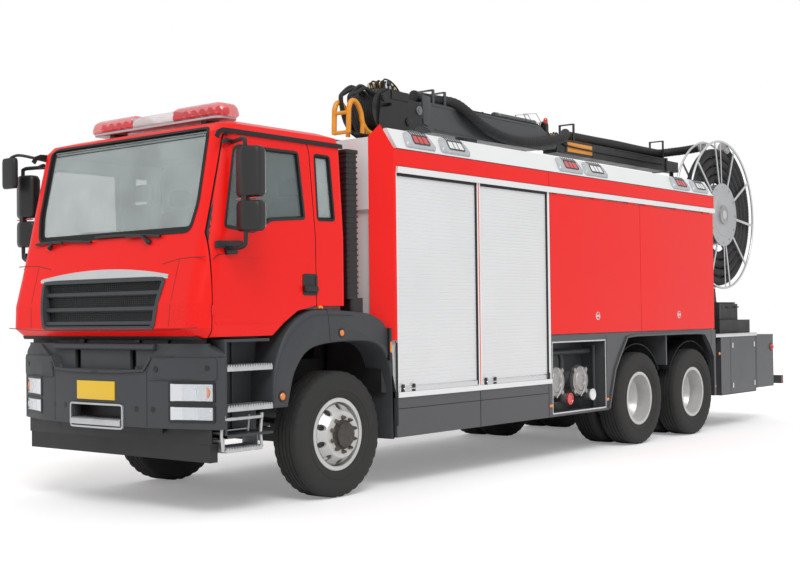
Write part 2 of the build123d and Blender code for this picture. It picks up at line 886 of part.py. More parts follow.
corner_plane = Plane(
    origin=(body_half_width - corner_cut, y(body_front_d), 0),
    x_dir=(1, 1, 0),
    z_dir=(1, -1, 0),
)
chamfer_width = corner_cut * 2**0.5
column_bottom_z = 1322
with BuildPart() as body_red_panels:
    with BuildSketch(corner_plane.offset(-corner_skin)) as corner_panel:
        with BuildLine():
            Polyline(
                (0, column_bottom_z),
                (0, 3138),
                (105, 3250),
                (chamfer_width, strip_top_z),
                (chamfer_width, column_bottom_z),
                close=True,
            )
        make_face()
    extrude(corner_panel.sketch, amount=corner_skin)
    block(shutter_face_x + fit, body_half_width, 660, 690 - fit, column_bottom_z, strip_top_z)
    block(shutter_face_x + fit, body_half_width, 660, body_rear_d, strip_bottom_z, strip_top_z)
    block(1150, shutter_face_x + 5, 692, body_rear_d, deck_z + fit, strip_top_z)
    side_shape(wing_cut, 929, 1260, mode=Mode.SUBTRACT)
    mirror(about=Plane.YZ)
save(body_red_panels.part, "body_red_panels")

with BuildPart() as roof_coaming:
    front_shape(
        [
            (body_half_width - 4, strip_top_z + fit),
            (body_half_width - coaming_inset, coaming_top_z),
            (body_half_width - coaming_inset - 40, coaming_top_z),
            (body_half_width - coaming_inset - 40, strip_top_z + fit),
        ],
        720,
        body_rear_d,
    )
    plan_shape([(-1089, 500), (1089, 500), (1059, 530), (-1059, 530)], deck_z - 500, 3134)
    plan_shape([(1040, 520), (1049, 520), (1125, 596), (1125, 730), (1040, 730)], strip_top_z + fit, 3134)
    mirror(about=Plane.YZ)
save(roof_coaming.part, "roof_coaming")

gutter_bottom_z = hatch_top_z + 11.5
with BuildPart() as side_rails:
    block(shutter_face_x + fit, body_half_width + 18, 700, body_rear_d, gutter_bottom_z, strip_bottom_z - 10)
    for low, high in ((690, 700), (1930, 1990), (3200, 3245)):
        block(shutter_face_x + fit, body_half_width, low, high, shutter_bottom_z - 48, gutter_bottom_z + 5)
    block(shutter_face_x + fit, body_half_width + 10, 690, 3245, shutter_bottom_z - 48, shutter_bottom_z)
    block(body_half_width - 3, body_half_width + 5, 1954, 1966, shutter_bottom_z, gutter_bottom_z, mode=Mode.SUBTRACT)
    mirror(about=Plane.YZ)
save(side_rails.part, "side_rails")

with BuildPart() as roller_shutters:
    for low, high in shutter_spans:
        block(shutter_face_x + fit, shutter_face_x + 16, low + fit, high - fit, shutter_bottom_z + fit, gutter_bottom_z - fit)
    mirror(about=Plane.YZ)
save(roller_shutters.part, "roller_shutters")

wheel_arch = [
    (4440, skirt_bottom_z - 40),
    (4589, 901),
    (4879, 1262),
    (6906, 1262),
    (7170, 958),
    (7182, skirt_bottom_z - 40),
]
panel_top_z = hatch_bottom_z - hatch_gap
sill_z = shutter_bottom_z - 48 - fit
bay_x = 905
with BuildPart() as body_skirts:
    side_shape(
        [
            (675, skirt_bottom_z),
            (7245, skirt_bottom_z),
            (7245, panel_top_z),
            (body_split_d + fit, panel_top_z),
            (body_split_d + fit, sill_z),
            (675, sill_z),
        ],
        body_side_x + fit,
        body_half_width - 4,
    )
    side_shape(wheel_arch, 1150, 1300, mode=Mode.SUBTRACT)
    block(480, body_side_x + 5, 675, body_split_d - 10, skirt_bottom_z + 15, sill_z)
    block(bay_x, body_side_x + 5, body_split_d + fit, 4415, skirt_bottom_z, floor_z - fit)
    block(bay_x + 30, body_half_width + 20, *pump_bay, 485, 1240, mode=Mode.SUBTRACT)
    block(600, body_side_x + 5, 5912, 5938, 900, floor_z - fit)
    mirror(about=Plane.YZ)
save(body_skirts.part, "body_skirts")

with BuildPart() as pump_outlets:
    for d, z, radius in ((3456, 812, 135), (3951, 805, 135), (3700, 620, 60), (4180, 640, 60)):
        rod((bay_x + 30 + fit, d, z), (1100, d, z), radius * 0.7)
        rod((1100, d, z), (1190, d, z), radius)
    mirror(about=Plane.YZ)
save(pump_outlets.part, "pump_outlets")

# Lift-up hatches, hung from a line just under the gutter
hatch_hinge = (body_half_width + 5, hatch_top_z + 6)
for side_name, side in sides.items():
    for place, (low, high) in hatch_spans.items():
        with BuildPart() as hatch:
            block(side * hatch_x[0], side * hatch_x[1], low, high, hatch_bottom_z, hatch_top_z)
            for d in (low + 200, (low + high) / 2, high - 200):
                rod((side * hatch_hinge[0], d - 90, hatch_hinge[1]), (side * hatch_hinge[0], d + 90, hatch_hinge[1]), 5)
                block(side * (hatch_x[1] - 14), side * (hatch_hinge[0] - 2), d - 90, d + 90, hatch_top_z - 12, hatch_hinge[1])
            rod((side * (hatch_x[1] - 4), (low + high) / 2 - 20, 1510), (side * (hatch_x[1] + 8), (low + high) / 2 - 20, 1510), 34)
        save(hatch.part, f"hatch_{place}_{side_name}")

# Rear platform, lockers beside the rails and the rear guard
with BuildPart() as rear_platform:
    block(-1245, 1245, body_rear_d + 5, side_box_rear_d + 30, platform_z - platform_thickness, platform_z)
    block(-rail_x, rail_x, body_rear_d + 5, side_box_rear_d + 30, rail_top_z + fit, platform_z - 5)
    for side in sides.values():
        block(side * 700, side * 1240, 7420, side_box_rear_d, 441, platform_z - platform_thickness + 5)
        block(side * (rail_x + 20), side * 1180, side_box_rear_d + 30, rear_box_d, 476, 1211)
    block(-1180, 1180, side_box_rear_d + 20, side_box_rear_d + 50, rail_top_z + fit, 1211)
    block(-1180, 1180, rear_box_d - 40, rear_box_d, 476, 1211)
    block(-1200, 1200, rear_end - 80, rear_end, 496, 612)
    for side in sides.values():
        block(side * 500, side * 600, rear_box_d - 5, rear_end - 70, 500, 600)
save(rear_platform.part, "rear_platform")

# Hose reel on its stand
stand_x = (520, 600)
with BuildPart() as reel_stand:
    for x in stand_x:
        side_shape(
            [(7900, platform_z), (8760, platform_z), (8760, platform_z + 40), (8400, reel_z + 90), (8240, reel_z + 90), (7900, platform_z + 40)],
            x - 12,
            x + 12,
        )
        side_shape(
            [(8070, platform_z + 60), (8570, platform_z + 60), (8380, reel_z - 160), (8260, reel_z - 160)],
            x - 20,
            x + 20,
            mode=Mode.SUBTRACT,
        )
    rod((stand_x[0] - 12, reel_d, reel_z), (stand_x[1] + 12, reel_d, reel_z), 95)
    rod((stand_x[0] - 20, reel_d, reel_z), (stand_x[1] + 20, reel_d, reel_z), reel_shaft_radius + fit, mode=Mode.SUBTRACT)
    block(420, 1100, 7700, 8674, platform_z, platform_z + 180)
    block(640, 1000, 7900, 8500, platform_z + 170, platform_z + 400)
save(reel_stand.part, "reel_stand")

reel_hub_x = (stand_x[0] - 40, reel_outer_x)
with BuildPart() as hose_reel:
    for x in (reel_inner_x + reel_tube, reel_outer_x - reel_tube):
        with Locations(Location((x, y(reel_d), reel_z), (0, 90, 0))):
            Torus(reel_radius - reel_tube, reel_tube)
            with PolarLocations(0, reel_spokes, start_angle=12):
                with Locations((reel_radius / 2, 0, 0)):
                    Box(reel_radius - 2 * reel_tube, 34, 10)
    rod((reel_outer_x - 24, reel_d, reel_z), (reel_outer_x - 8, reel_d, reel_z), hub_plate_radius)
    rod((reel_inner_x + 8, reel_d, reel_z), (reel_outer_x - 8, reel_d, reel_z), coil_core_radius)
    rod((reel_hub_x[0], reel_d, reel_z), (reel_outer_x + 20, reel_d, reel_z), reel_shaft_radius)
save(hose_reel.part, "hose_reel")

coil_x = (reel_inner_x + 2 * reel_tube, reel_outer_x - 2 * reel_tube)
with BuildPart() as hose_coil:
    rod((coil_x[0], reel_d, reel_z), (coil_x[1], reel_d, reel_z), coil_radius)
    rod((coil_x[0] - 5, reel_d, reel_z), (coil_x[1] + 5, reel_d, reel_z), coil_core_radius + fit, mode=Mode.SUBTRACT)
save(hose_coil.part, "hose_coil")

# Crane
lift_d, lift_z = lift_pivot
knuckle_d, knuckle_z = knuckle_pivot
lift_foot = (2500, 3290)
lift_eye = (3500, 3390)
lift_slope = (lift_eye[1] - lift_foot[1]) / (lift_eye[0] - lift_foot[0])
jib_foot = (4060, 3850)
jib_eye = (5018, 3850)
pin_radius = 28
with BuildPart() as crane_base:
    rod((0, slew_d, deck_z), (0, slew_d, slew_seat_z), 290)
    block(-480, 480, slew_d - 420, slew_d + 420, deck_z, deck_z + 40)
    for x in (-1, 1):
        for d in (-1, 1):
            plan_shape(
                [(0, slew_d), (x * 420, slew_d + d * 380), (x * 440, slew_d + d * 360)],
                deck_z,
                deck_z + 180,
            )
save(crane_base.part, "crane_base")

cheek_x = (boom_half_width + 6, boom_half_width + 46)
with BuildPart() as crane_column:
    rod((0, slew_d, slew_seat_z + fit), (0, slew_d, slew_seat_z + 70), 300)
    side_shape(
        [
            (1820, slew_seat_z + 60),
            (1760, 3520),
            (1800, 3800),
            (1950, 3870),
            (2180, 3860),
            (2250, 3780),
            (2250, 3480),
            (2330, slew_seat_z + 60),
        ],
        -cheek_x[1],
        cheek_x[1],
        radius=20,
    )
    for side in sides.values():
        side_shape(
            [
                (2200, 3480),
                (2200, 3800),
                (lift_d, lift_z + 90),
                (lift_d + 75, lift_z + 50),
                (lift_d + 80, lift_z - 60),
                (2330, 3480),
            ],
            side * cheek_x[0],
            side * cheek_x[1],
            radius=15,
        )
        side_shape(
            [
                (2240, slew_seat_z + 60),
                (2240, 3470),
                (lift_foot[0] + 45, lift_foot[1] + 45),
                (lift_foot[0] + 45, lift_foot[1] - 45),
                (2330, slew_seat_z + 60),
            ],
            side * 58,
            side * 86,
        )
    rod((-cheek_x[1], *lift_pivot), (cheek_x[1], *lift_pivot), pin_radius)
    rod((-86, *lift_foot), (86, *lift_foot), pin_radius)
    block(-105, 105, 1965, 2150, 3850, 3985)
    rod((-150, 1900, 3640), (150, 1900, 3640), 232)
    for x in (-240, 240):
        bent_bar([(x, 1860, 3690), (x, 1245, 3690), (x, 1300, 3345), (x, 1860, 3345)], 20, 70)
    for d, z in ((1300, 3690), (1850, 3690), (1280, 3480), (1850, 3345)):
        rod((-245, d, z), (245, d, z), 18)
save(crane_column.part, "crane_column")


def add_hoop(d, low_z, high_z, half=108):
    """Square hoop of flat bar that holds the hose."""
    front_shape([(-half, low_z), (-half, high_z), (half, high_z), (half, low_z)], d - 18, d + 18)
    inner = half - hoop_wall
    low_inner = low_z + hoop_wall
    high_inner = high_z - hoop_wall
    front_shape(
        [(-inner, low_inner), (-inner, high_inner), (inner, high_inner), (inner, low_inner)],
        d - 20,
        d + 20,
        mode=Mode.SUBTRACT,
    )


with BuildPart() as boom_main:
    side_shape(
        [
            (lift_d - 60, lift_z - 40),
            (lift_d - 40, lift_z + 60),
            (2560, 3822),
            (4850, 3815),
            (knuckle_d - 110, knuckle_z + 80),
            (knuckle_d - 110, knuckle_z - 92),
            (4850, 3520),
            (2700, 3505),
            (2560, 3560),
        ],
        -boom_half_width,
        boom_half_width,
        radius=20,
    )
    rod((-boom_half_width, *lift_pivot), (boom_half_width, *lift_pivot), 80)
    rod((-boom_half_width - 5, *lift_pivot), (boom_half_width + 5, *lift_pivot), pin_radius + fit, mode=Mode.SUBTRACT)
    for side in sides.values():
        side_shape(
            [
                (knuckle_d - 160, knuckle_z - 90),
                (knuckle_d - 160, knuckle_z + 80),
                (knuckle_d + 60, knuckle_z + 70),
                (knuckle_d + 92, knuckle_z),
                (knuckle_d + 60, knuckle_z - 80),
            ],
            side * 92,
            side * boom_half_width,
            radius=15,
        )
        side_shape(
            [(3400, 3520), (3600, 3520), (lift_eye[0] + 45, lift_eye[1] - 45), (lift_eye[0] - 45, lift_eye[1] - 45)],
            side * 58,
            side * 86,
        )
    rod((-boom_half_width, *knuckle_pivot), (boom_half_width, *knuckle_pivot), pin_radius)
    rod((0, jib_foot[0], jib_foot[1]), (0, 4900, jib_foot[1]), 50)
    rod((0, jib_foot[0] + 60, jib_foot[1]), (0, 4910, jib_foot[1]), 30 + fit, mode=Mode.SUBTRACT)
    block(-60, 60, jib_foot[0] - 60, jib_foot[0] + 60, 3810, 3860)
    for d in (2762, 2972):
        add_hoop(d, *boom_hoop_z)
save(boom_main.part, "boom_main")

jib_half = 100
jib_z = (3535, 3720)
with BuildPart() as boom_jib:
    rod((-88, *knuckle_pivot), (88, *knuckle_pivot), 88)
    block(-88, 88, knuckle_d, knuckle_d + 150, knuckle_z - 80, knuckle_z + 60)
    block(-jib_half, jib_half, knuckle_d + 125, jib_end_d, *jib_z)
    block(
        -jib_half + boom_wall,
        jib_half - boom_wall,
        knuckle_d + 400,
        jib_end_d + 5,
        jib_z[0] + boom_wall,
        jib_z[1] - boom_wall,
        mode=Mode.SUBTRACT,
    )
    rod((-92, *knuckle_pivot), (92, *knuckle_pivot), pin_radius + fit, mode=Mode.SUBTRACT)
    for side in sides.values():
        side_shape(
            [
                (knuckle_d - 20, knuckle_z + 50),
                (jib_eye[0] - 38, jib_eye[1] + 10),
                (jib_eye[0] + 5, jib_eye[1] + 45),
                (jib_eye[0] + 50, jib_eye[1] + 20),
                (knuckle_d + 75, knuckle_z + 30),
            ],
            side * 46,
            side * 70,
        )
    add_hoop(5680, *jib_hoop_z)
    add_hoop(8110, jib_hoop_z[0], jib_hoop_z[1] + 30)
save(boom_jib.part, "boom_jib")

extension_start_d = 6900
pad = 6
with BuildPart() as boom_extension:
    half = jib_half - boom_wall - pad
    low_z = jib_z[0] + boom_wall + pad
    high_z = jib_z[1] - boom_wall - pad
    block(-half, half, extension_start_d, extension_end_d, low_z, high_z)
    block(
        -half - pad + fit,
        half + pad - fit,
        extension_start_d,
        extension_start_d + 100,
        low_z - pad + fit,
        high_z + pad - fit,
    )
    rod((0, extension_end_d - 60, low_z + 5), (0, extension_end_d - 60, low_z - 80), 30)
save(boom_extension.part, "boom_extension")



def on_lift_line(reach):
    """Point of the lift cylinder's centre line, a reach behind its foot."""
    return (0, lift_foot[0] + reach, lift_foot[1] + reach * lift_slope)


with BuildPart() as lift_barrel:
    rod((-50, *lift_foot), (50, *lift_foot), 44)
    rod(on_lift_line(0), on_lift_line(800), 52)
    rod(on_lift_line(90), on_lift_line(810), 32 + fit, mode=Mode.SUBTRACT)
    rod((-60, *lift_foot), (60, *lift_foot), pin_radius + fit, mode=Mode.SUBTRACT)
save(lift_barrel.part, "lift_barrel")

with BuildPart() as lift_rod:
    rod(on_lift_line(200), (0, *lift_eye), 32)
    rod((-46, *lift_eye), (46, *lift_eye), 40)
save(lift_rod.part, "lift_rod")

with BuildPart() as jib_rod:
    rod((0, 4300, jib_foot[1]), (0, *jib_eye), 30)
    rod((-36, *jib_eye), (36, *jib_eye), 38)
save(jib_rod.part, "jib_rod")

# Hose along the crane, split at the knuckle
boom_rest_z = boom_hoop_z[0] + hoop_wall + hose_radius + fit
jib_rest_z = jib_hoop_z[0] + hoop_wall + hose_radius + fit
boom_route = [
    (0, 2560, boom_rest_z),
    (0, 2980, boom_rest_z),
    (120, 3280, 3900),
    (195, 3500, 3870),
    (205, 3900, 3720),
    (215, 4280, 3650),
    (210, 4750, 3660),
    (195, 4950, 3722),
    (195, knuckle_d - fit, 3722),
]
with BuildPart() as boom_hose:
    hose_run(boom_route, hose_radius)
save(boom_hose.part, "boom_hose")

jib_route = [
    (195, knuckle_d, 3722),
    (195, 5290, 3722),
    (110, 5470, 3810),
    (0, 5630, jib_rest_z),
    (0, 5780, jib_rest_z),
    (25, 6250, 3785),
    (55, 6850, 3784),
    (30, 7450, 3784),
    (0, 7950, jib_rest_z),
    (0, 8170, jib_rest_z),
    (120, 8310, 3820),
    (330, 8330, 3825),
    (reel_inner_x - 20, 8330, 3850),
]
with BuildPart() as jib_hose:
    hose_run(jib_route, hose_radius)
save(jib_hose.part, "jib_hose")
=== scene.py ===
"""Looks of a three-axle rescue fire truck: finishes, glass, lamps, hoses and small fittings.

Points are written in millimetres as (x, distance behind the front axle, height), and at()
turns them into the frame's metres. Front faces -Y, the driver's side is +X.
"""
from math import cos, dist, hypot, pi, radians, sin, sqrt

import bmesh
import bpy
from mathutils import Matrix, Vector


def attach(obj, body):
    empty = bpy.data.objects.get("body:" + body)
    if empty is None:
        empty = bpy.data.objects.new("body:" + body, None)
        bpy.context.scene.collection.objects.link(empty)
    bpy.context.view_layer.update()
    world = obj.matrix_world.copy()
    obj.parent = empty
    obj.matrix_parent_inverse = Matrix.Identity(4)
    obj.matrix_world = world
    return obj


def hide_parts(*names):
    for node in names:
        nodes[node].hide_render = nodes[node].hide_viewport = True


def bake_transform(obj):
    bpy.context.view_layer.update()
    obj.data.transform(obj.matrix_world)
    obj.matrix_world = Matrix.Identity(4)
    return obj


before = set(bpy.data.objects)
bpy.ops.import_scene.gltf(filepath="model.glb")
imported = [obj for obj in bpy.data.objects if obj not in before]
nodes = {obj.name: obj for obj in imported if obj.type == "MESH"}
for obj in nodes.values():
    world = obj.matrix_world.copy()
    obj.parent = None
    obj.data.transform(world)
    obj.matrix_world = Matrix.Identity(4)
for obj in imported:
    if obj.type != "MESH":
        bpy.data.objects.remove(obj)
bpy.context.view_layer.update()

front_axle_y = -3965
sides = {"left": 1, "right": -1}
bogie_axles = {"front": 5225, "back": 6625}
axle_z = 538
skirt_x = 1246
wing_x = 1230
outward = (1, 0, 0)


def at(x, d, z):
    """Frame point of x, distance behind the front axle and height."""
    return Vector((x, front_axle_y + d, z)) / 1000


def circle(count, turn=0.0):
    """Cosine and sine at even steps round a circle, all turned by a share of a step."""
    angles = [2 * pi * (step + turn) / count for step in range(count)]
    return [(cos(angle), sin(angle)) for angle in angles]


# Shapes
class Form:
    """Mesh being built; tone is the material slot that new faces get."""

    def __init__(self):
        self.points = []
        self.faces = []
        self.tones = []
        self.tone = 0

    def add(self, points, faces):
        """Adds points and the faces that number them from nought."""
        start = len(self.points)
        self.points.extend(tuple(point) for point in points)
        self.faces.extend(tuple(start + index for index in face) for face in faces)
        self.tones.extend([self.tone] * len(faces))

    def rows(self, rows, around=False, ends=False):
        """Skin over rows of points, each row closed on itself if around, with both ends shut if asked."""
        width = len(rows[0])
        faces = []
        for row in range(len(rows) - 1):
            for column in range(width if around else width - 1):
                after = (column + 1) % width
                here, above = row * width, (row + 1) * width
                faces.append((here + column, here + after, above + after, above + column))
        if ends:
            last = (len(rows) - 1) * width
            faces.append(tuple(range(width))[::-1])
            faces.append(tuple(last + column for column in range(width)))
        self.add([point for row in rows for point in row], faces)

    def prism(self, outline, axis, low, high):
        """Outline carried along an axis; its points are the other two coordinates in order."""
        order = {"x": (2, 0, 1), "d": (0, 2, 1), "z": (0, 1, 2)}[axis]
        self.rows([[[(*point, level)[i] for i in order] for point in outline] for level in (low, high)],
                  True, True)

    def box(self, x, d, z):
        """Box between two values of each coordinate."""
        self.prism([(x[0], d[0]), (x[1], d[0]), (x[1], d[1]), (x[0], d[1])], "z", *z)

    def turned(self, profile, centre, direction, steps=24, ends=True):
        """Profile of (distance along, radius) turned about a direction through the centre."""
        ahead = Vector(direction).normalized()
        across = ahead.orthogonal().normalized()
        up = ahead.cross(across)
        centre = Vector(centre)
        self.rows([[centre + ahead * along + (across * c + up * s) * radius for c, s in circle(steps)]
                   for along, radius in profile], True, ends)

    def ball(self, centre, radius, direction=(0, 0, 1), share=1.0, steps=20, rings=8):
        """Dome or ball: share of its full height, from the tip back."""
        profile = []
        for ring in range(rings + 1):
            angle = pi * share * ring / rings
            profile.append((radius * cos(angle), max(radius * sin(angle), radius * 0.002)))
        self.turned(profile, centre, direction, steps)

    def tube(self, path, radius, sides=10, closed=False, radii=None):
        """Round bar along a path of points, with its radius changing if radii are given."""
        path = [Vector(point) for point in path]
        rings = []
        across = None
        count = len(path)
        for index, point in enumerate(path):
            before = path[index - 1] if index or closed else point
            after = path[(index + 1) % count] if index < count - 1 or closed else point
            ahead = (after - before).normalized()
            if across is None:
                across = ahead.orthogonal().normalized()
            across = (across - ahead * across.dot(ahead)).normalized()
            up = ahead.cross(across)
            size = radii[index] if radii else radius
            rings.append([point + (across * c + up * s) * size for c, s in circle(sides)])
        if closed:
            rings.append(rings[0])
        self.rows(rings, True, not closed)

    def both(self):
        """Adds the mirror image of all that is there, on the other side of the truck."""
        points, faces, tones = list(self.points), list(self.faces), list(self.tones)
        start = len(points)
        self.points.extend((-x, d, z) for x, d, z in points)
        self.faces.extend(tuple(start + index for index in reversed(face)) for face in faces)
        self.tones.extend(tones)

    def flip(self, side):
        """Turns the form over to the passenger's side if side is negative."""
        if side < 0:
            self.points = [(-x, d, z) for x, d, z in self.points]
            self.faces = [tuple(reversed(face)) for face in self.faces]


def smooth_path(points, steps=6):
    """Points on one smooth curve through the given ones."""
    points = [Vector(point) for point in points]
    found = []
    for index, (p1, p2) in enumerate(zip(points, points[1:])):
        p0 = points[index - 1] if index else p1 * 2 - p2
        p3 = points[index + 2] if index < len(points) - 2 else p2 * 2 - p1
        for step in range(steps):
            t = step / steps
            found.append(((p1 * 2) + (p2 - p0) * t + (p0 * 2 - p1 * 5 + p2 * 4 - p3) * t * t
                          + (p1 * 3 - p0 - p2 * 3 + p3) * t * t * t) / 2)
    return found + [points[-1]]


def smooth_flat(points, steps):
    """Smooth curve through 2-D points."""
    return [tuple(point)[:2] for point in smooth_path([(*point, 0) for point in points], steps)]


def rounded(outline, radius, steps=4):
    """Outline of 2-D points with its corners rounded."""
    found = []
    count = len(outline)
    for index in range(count):
        corner = Vector(outline[index])
        before = Vector(outline[index - 1]) - corner
        after = Vector(outline[(index + 1) % count]) - corner
        reach = min(radius, before.length * 0.48, after.length * 0.48)
        first, last = corner + before.normalized() * reach, corner + after.normalized() * reach
        for step in range(steps + 1):
            t = step / steps
            found.append(tuple(first * (1 - t) ** 2 + corner * 2 * t * (1 - t) + last * t * t))
    return found


def ring_of(outline, amount):
    """Outline moved inward by an amount, point by point, for outlines that run anticlockwise."""
    found = []
    count = len(outline)
    for index in range(count):
        point = Vector(outline[index])
        ahead = (Vector(outline[(index + 1) % count]) - Vector(outline[index - 1])).normalized()
        found.append(tuple(point + Vector((-ahead.y, ahead.x)) * amount))
    return found


merge_distance = 0.00002
bevelled_angle = radians(32)


def piece(name, form, body, materials, bevel=0, smooth=38, replaces=(), place=None):
    """Finished object of a form, riding on a body. Bevel is in millimetres, smooth in degrees."""
    if not isinstance(materials, (list, tuple)):
        materials = [materials]
    mesh = bpy.data.meshes.new(name)
    origin = Vector((0, 0, 0)) if place else Vector((0, front_axle_y, 0))
    mesh.from_pydata([(Vector(point) + origin) / 1000 for point in form.points], [], form.faces)
    for face, tone in zip(mesh.polygons, form.tones):
        face.material_index = tone
    work = bmesh.new()
    work.from_mesh(mesh)
    bmesh.ops.remove_doubles(work, verts=work.verts, dist=merge_distance)
    bmesh.ops.recalc_face_normals(work, faces=work.faces)
    if bevel:
        edges = [edge for edge in work.edges
                 if len(edge.link_faces) == 2 and edge.calc_face_angle(0) > bevelled_angle]
        bmesh.ops.bevel(work, geom=edges, offset=bevel / 1000, segments=2, profile=0.6, affect="EDGES",
                        clamp_overlap=True, material=-1)
    work.to_mesh(mesh)
    work.free()
    mesh.shade_smooth()
    mesh.set_sharp_from_angle(angle=radians(smooth))
    return mounted(name, mesh, body, materials, replaces, place)


def mounted(name, mesh, body, materials, replaces=(), place=None, turn=None):
    """Object of a finished mesh, riding on a body; place puts a shared mesh where it belongs."""
    if not mesh.materials:
        for material in materials:
            mesh.materials.append(material)
    made = bpy.data.objects.new(name, mesh)
    bpy.context.scene.collection.objects.link(made)
    if place:
        made.matrix_world = Matrix.Translation(at(*place)) @ (turn or Matrix())
    if body:
        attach(made, body)
    for node in [replaces] if isinstance(replaces, str) else replaces:
        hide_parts(node)
    return made


# Materials
def socket(node, name, value):
    """Sets an input of a shader node."""
    node.inputs[name].default_value = value


def new_material(name):
    """Node material with one Principled shader; returns it, its tree and the shader."""
    material = bpy.data.materials.new(name)
    material.use_nodes = True
    tree = material.node_tree
    return material, tree, tree.nodes["Principled BSDF"]


def object_noise(tree, scale, detail=3.0, stretch=(1, 1, 1)):
    """Noise that stays with the object, stretched along its axes."""
    place = tree.nodes.new("ShaderNodeTexCoord")
    mapping = tree.nodes.new("ShaderNodeMapping")
    socket(mapping, "Scale", stretch)
    tree.links.new(place.outputs["Object"], mapping.inputs["Vector"])
    noise = tree.nodes.new("ShaderNodeTexNoise")
    socket(noise, "Scale", scale)
    socket(noise, "Detail", detail)
    tree.links.new(mapping.outputs["Vector"], noise.inputs["Vector"])
    return noise.outputs["Fac"]


def ramp(tree, factor, stops):
    """Colour ramp over a factor; stops are (position, colour)."""
    node = tree.nodes.new("ShaderNodeValToRGB")
    elements = node.color_ramp.elements
    while len(elements) < len(stops):
        elements.new(0.5)
    for element, (position, colour) in zip(elements, stops):
        element.position = position
        element.color = (*colour, 1)
    tree.links.new(factor, node.inputs["Fac"])
    return node.outputs["Color"]


def add_bump(tree, shader, height, strength, distance):
    """Gives a shader a bump from a height, with the distance in metres."""
    bump = tree.nodes.new("ShaderNodeBump")
    socket(bump, "Strength", strength)
    socket(bump, "Distance", distance)
    tree.links.new(height, bump.inputs["Height"])
    tree.links.new(bump.outputs["Normal"], shader.inputs["Normal"])


def varied(colour, amount):
    """Darker and lighter neighbours of a colour."""
    return tuple(c * (1 - amount) for c in colour), tuple(min(1, c * (1 + amount)) for c in colour)


def surface(name, colour, rough, metallic=0.0, coat=0.0, vary=0.06, patch=2.0, grain=900.0,
            grain_height=0.00005, stretch=(1, 1, 1), rough_spread=0.08, specular=0.5):
    """Finish with patchy tone and roughness and a fine grain in its bump."""
    material, tree, shader = new_material(name)
    patches = object_noise(tree, patch, 5.0)
    low, high = varied(colour, vary)
    tree.links.new(ramp(tree, patches, [(0.3, low), (0.7, high)]), shader.inputs["Base Color"])
    tones = ramp(tree, patches, [(0.3, (rough - rough_spread,) * 3), (0.7, (rough + rough_spread,) * 3)])
    tree.links.new(tones, shader.inputs["Roughness"])
    socket(shader, "Metallic", metallic)
    socket(shader, "Specular IOR Level", specular)
    socket(shader, "Coat Weight", coat)
    socket(shader, "Coat Roughness", 0.06)
    add_bump(tree, shader, object_noise(tree, grain, 2.0, stretch), 0.35, grain_height)
    return material


red_paint = surface("red paint", (0.86, 0.008, 0.005), 0.34, coat=0.12, vary=0.02, patch=0.8, grain=260.0,
                    grain_height=0.00001, specular=0.22)
white_paint = surface("white paint", (0.78, 0.79, 0.79), 0.34, coat=0.3, vary=0.02, patch=0.8, grain=260.0)
dark_grey = surface("moulded dark grey", (0.050, 0.055, 0.060), 0.52, vary=0.08, grain=1400.0,
                    grain_height=0.0001, specular=0.35)
panel_grey = surface("painted dark grey", (0.070, 0.073, 0.078), 0.42, coat=0.15, vary=0.08, grain=300.0)
black_plastic = surface("black plastic", (0.014, 0.014, 0.015), 0.45, vary=0.15, grain=1500.0,
                        grain_height=0.0001)
chassis_black = surface("chassis black", (0.016, 0.016, 0.017), 0.50, vary=0.25, patch=6.0, grain=500.0)
crane_grey = surface("crane dark grey", (0.050, 0.055, 0.060), 0.40, coat=0.2, vary=0.12, patch=4.0)
crane_black = surface("crane black", (0.013, 0.013, 0.014), 0.42, vary=0.2, patch=5.0)
orange_paint = surface("crane orange", (0.80, 0.30, 0.010), 0.42, coat=0.2, vary=0.08, patch=5.0)
tyre_rubber = surface("tyre rubber", (0.026, 0.025, 0.024), 0.80, vary=0.18, patch=9.0, grain=700.0,
                      grain_height=0.0004)
hose_rubber = surface("hose rubber", (0.013, 0.013, 0.014), 0.62, vary=0.2, patch=12.0, grain=600.0,
                      grain_height=0.0003)
seal_rubber = surface("seal rubber", (0.010, 0.010, 0.011), 0.70, vary=0.2)
shutter_metal = surface("anodised slats", (0.74, 0.75, 0.76), 0.40, metallic=0.15, vary=0.02, patch=1.5,
                        stretch=(1, 1, 12))
lamp_housing = surface("lamp housing", (0.50, 0.52, 0.54), 0.22, metallic=0.2, vary=0.06, patch=12.0)
trim_metal = surface("bright trim", (0.72, 0.73, 0.74), 0.28, metallic=0.85, vary=0.04, grain=300.0,
                     stretch=(8, 1, 8))
tread_metal = surface("step metal", (0.58, 0.59, 0.60), 0.40, metallic=0.8, vary=0.08, patch=12.0)
wheel_silver = surface("wheel silver", (0.60, 0.60, 0.59), 0.36, metallic=0.35, vary=0.07, patch=7.0)
chrome = surface("chrome", (0.80, 0.81, 0.82), 0.10, metallic=1.0, vary=0.02, rough_spread=0.03)
nut_metal = surface("worn nuts", (0.20, 0.17, 0.13), 0.50, metallic=0.7, vary=0.3, patch=40.0)
hub_metal = surface("oily hub", (0.060, 0.055, 0.048), 0.42, metallic=0.3, vary=0.4, patch=18.0)
reel_metal = surface("reel silver", (0.66, 0.67, 0.68), 0.34, metallic=0.75, vary=0.05, patch=6.0)
hub_plate_grey = surface("reel hub plate", (0.45, 0.46, 0.47), 0.40, metallic=0.4, vary=0.06)
coupling_metal = surface("cast couplings", (0.42, 0.41, 0.40), 0.42, metallic=0.8, vary=0.15, patch=20.0)
seat_cloth = surface("seat cloth", (0.030, 0.031, 0.036), 0.85, vary=0.2, patch=20.0, grain=1800.0,
                     grain_height=0.0006)
pale_lining = surface("pale cab lining", (0.42, 0.45, 0.44), 0.70, vary=0.06, grain=1500.0,
                      grain_height=0.0003)
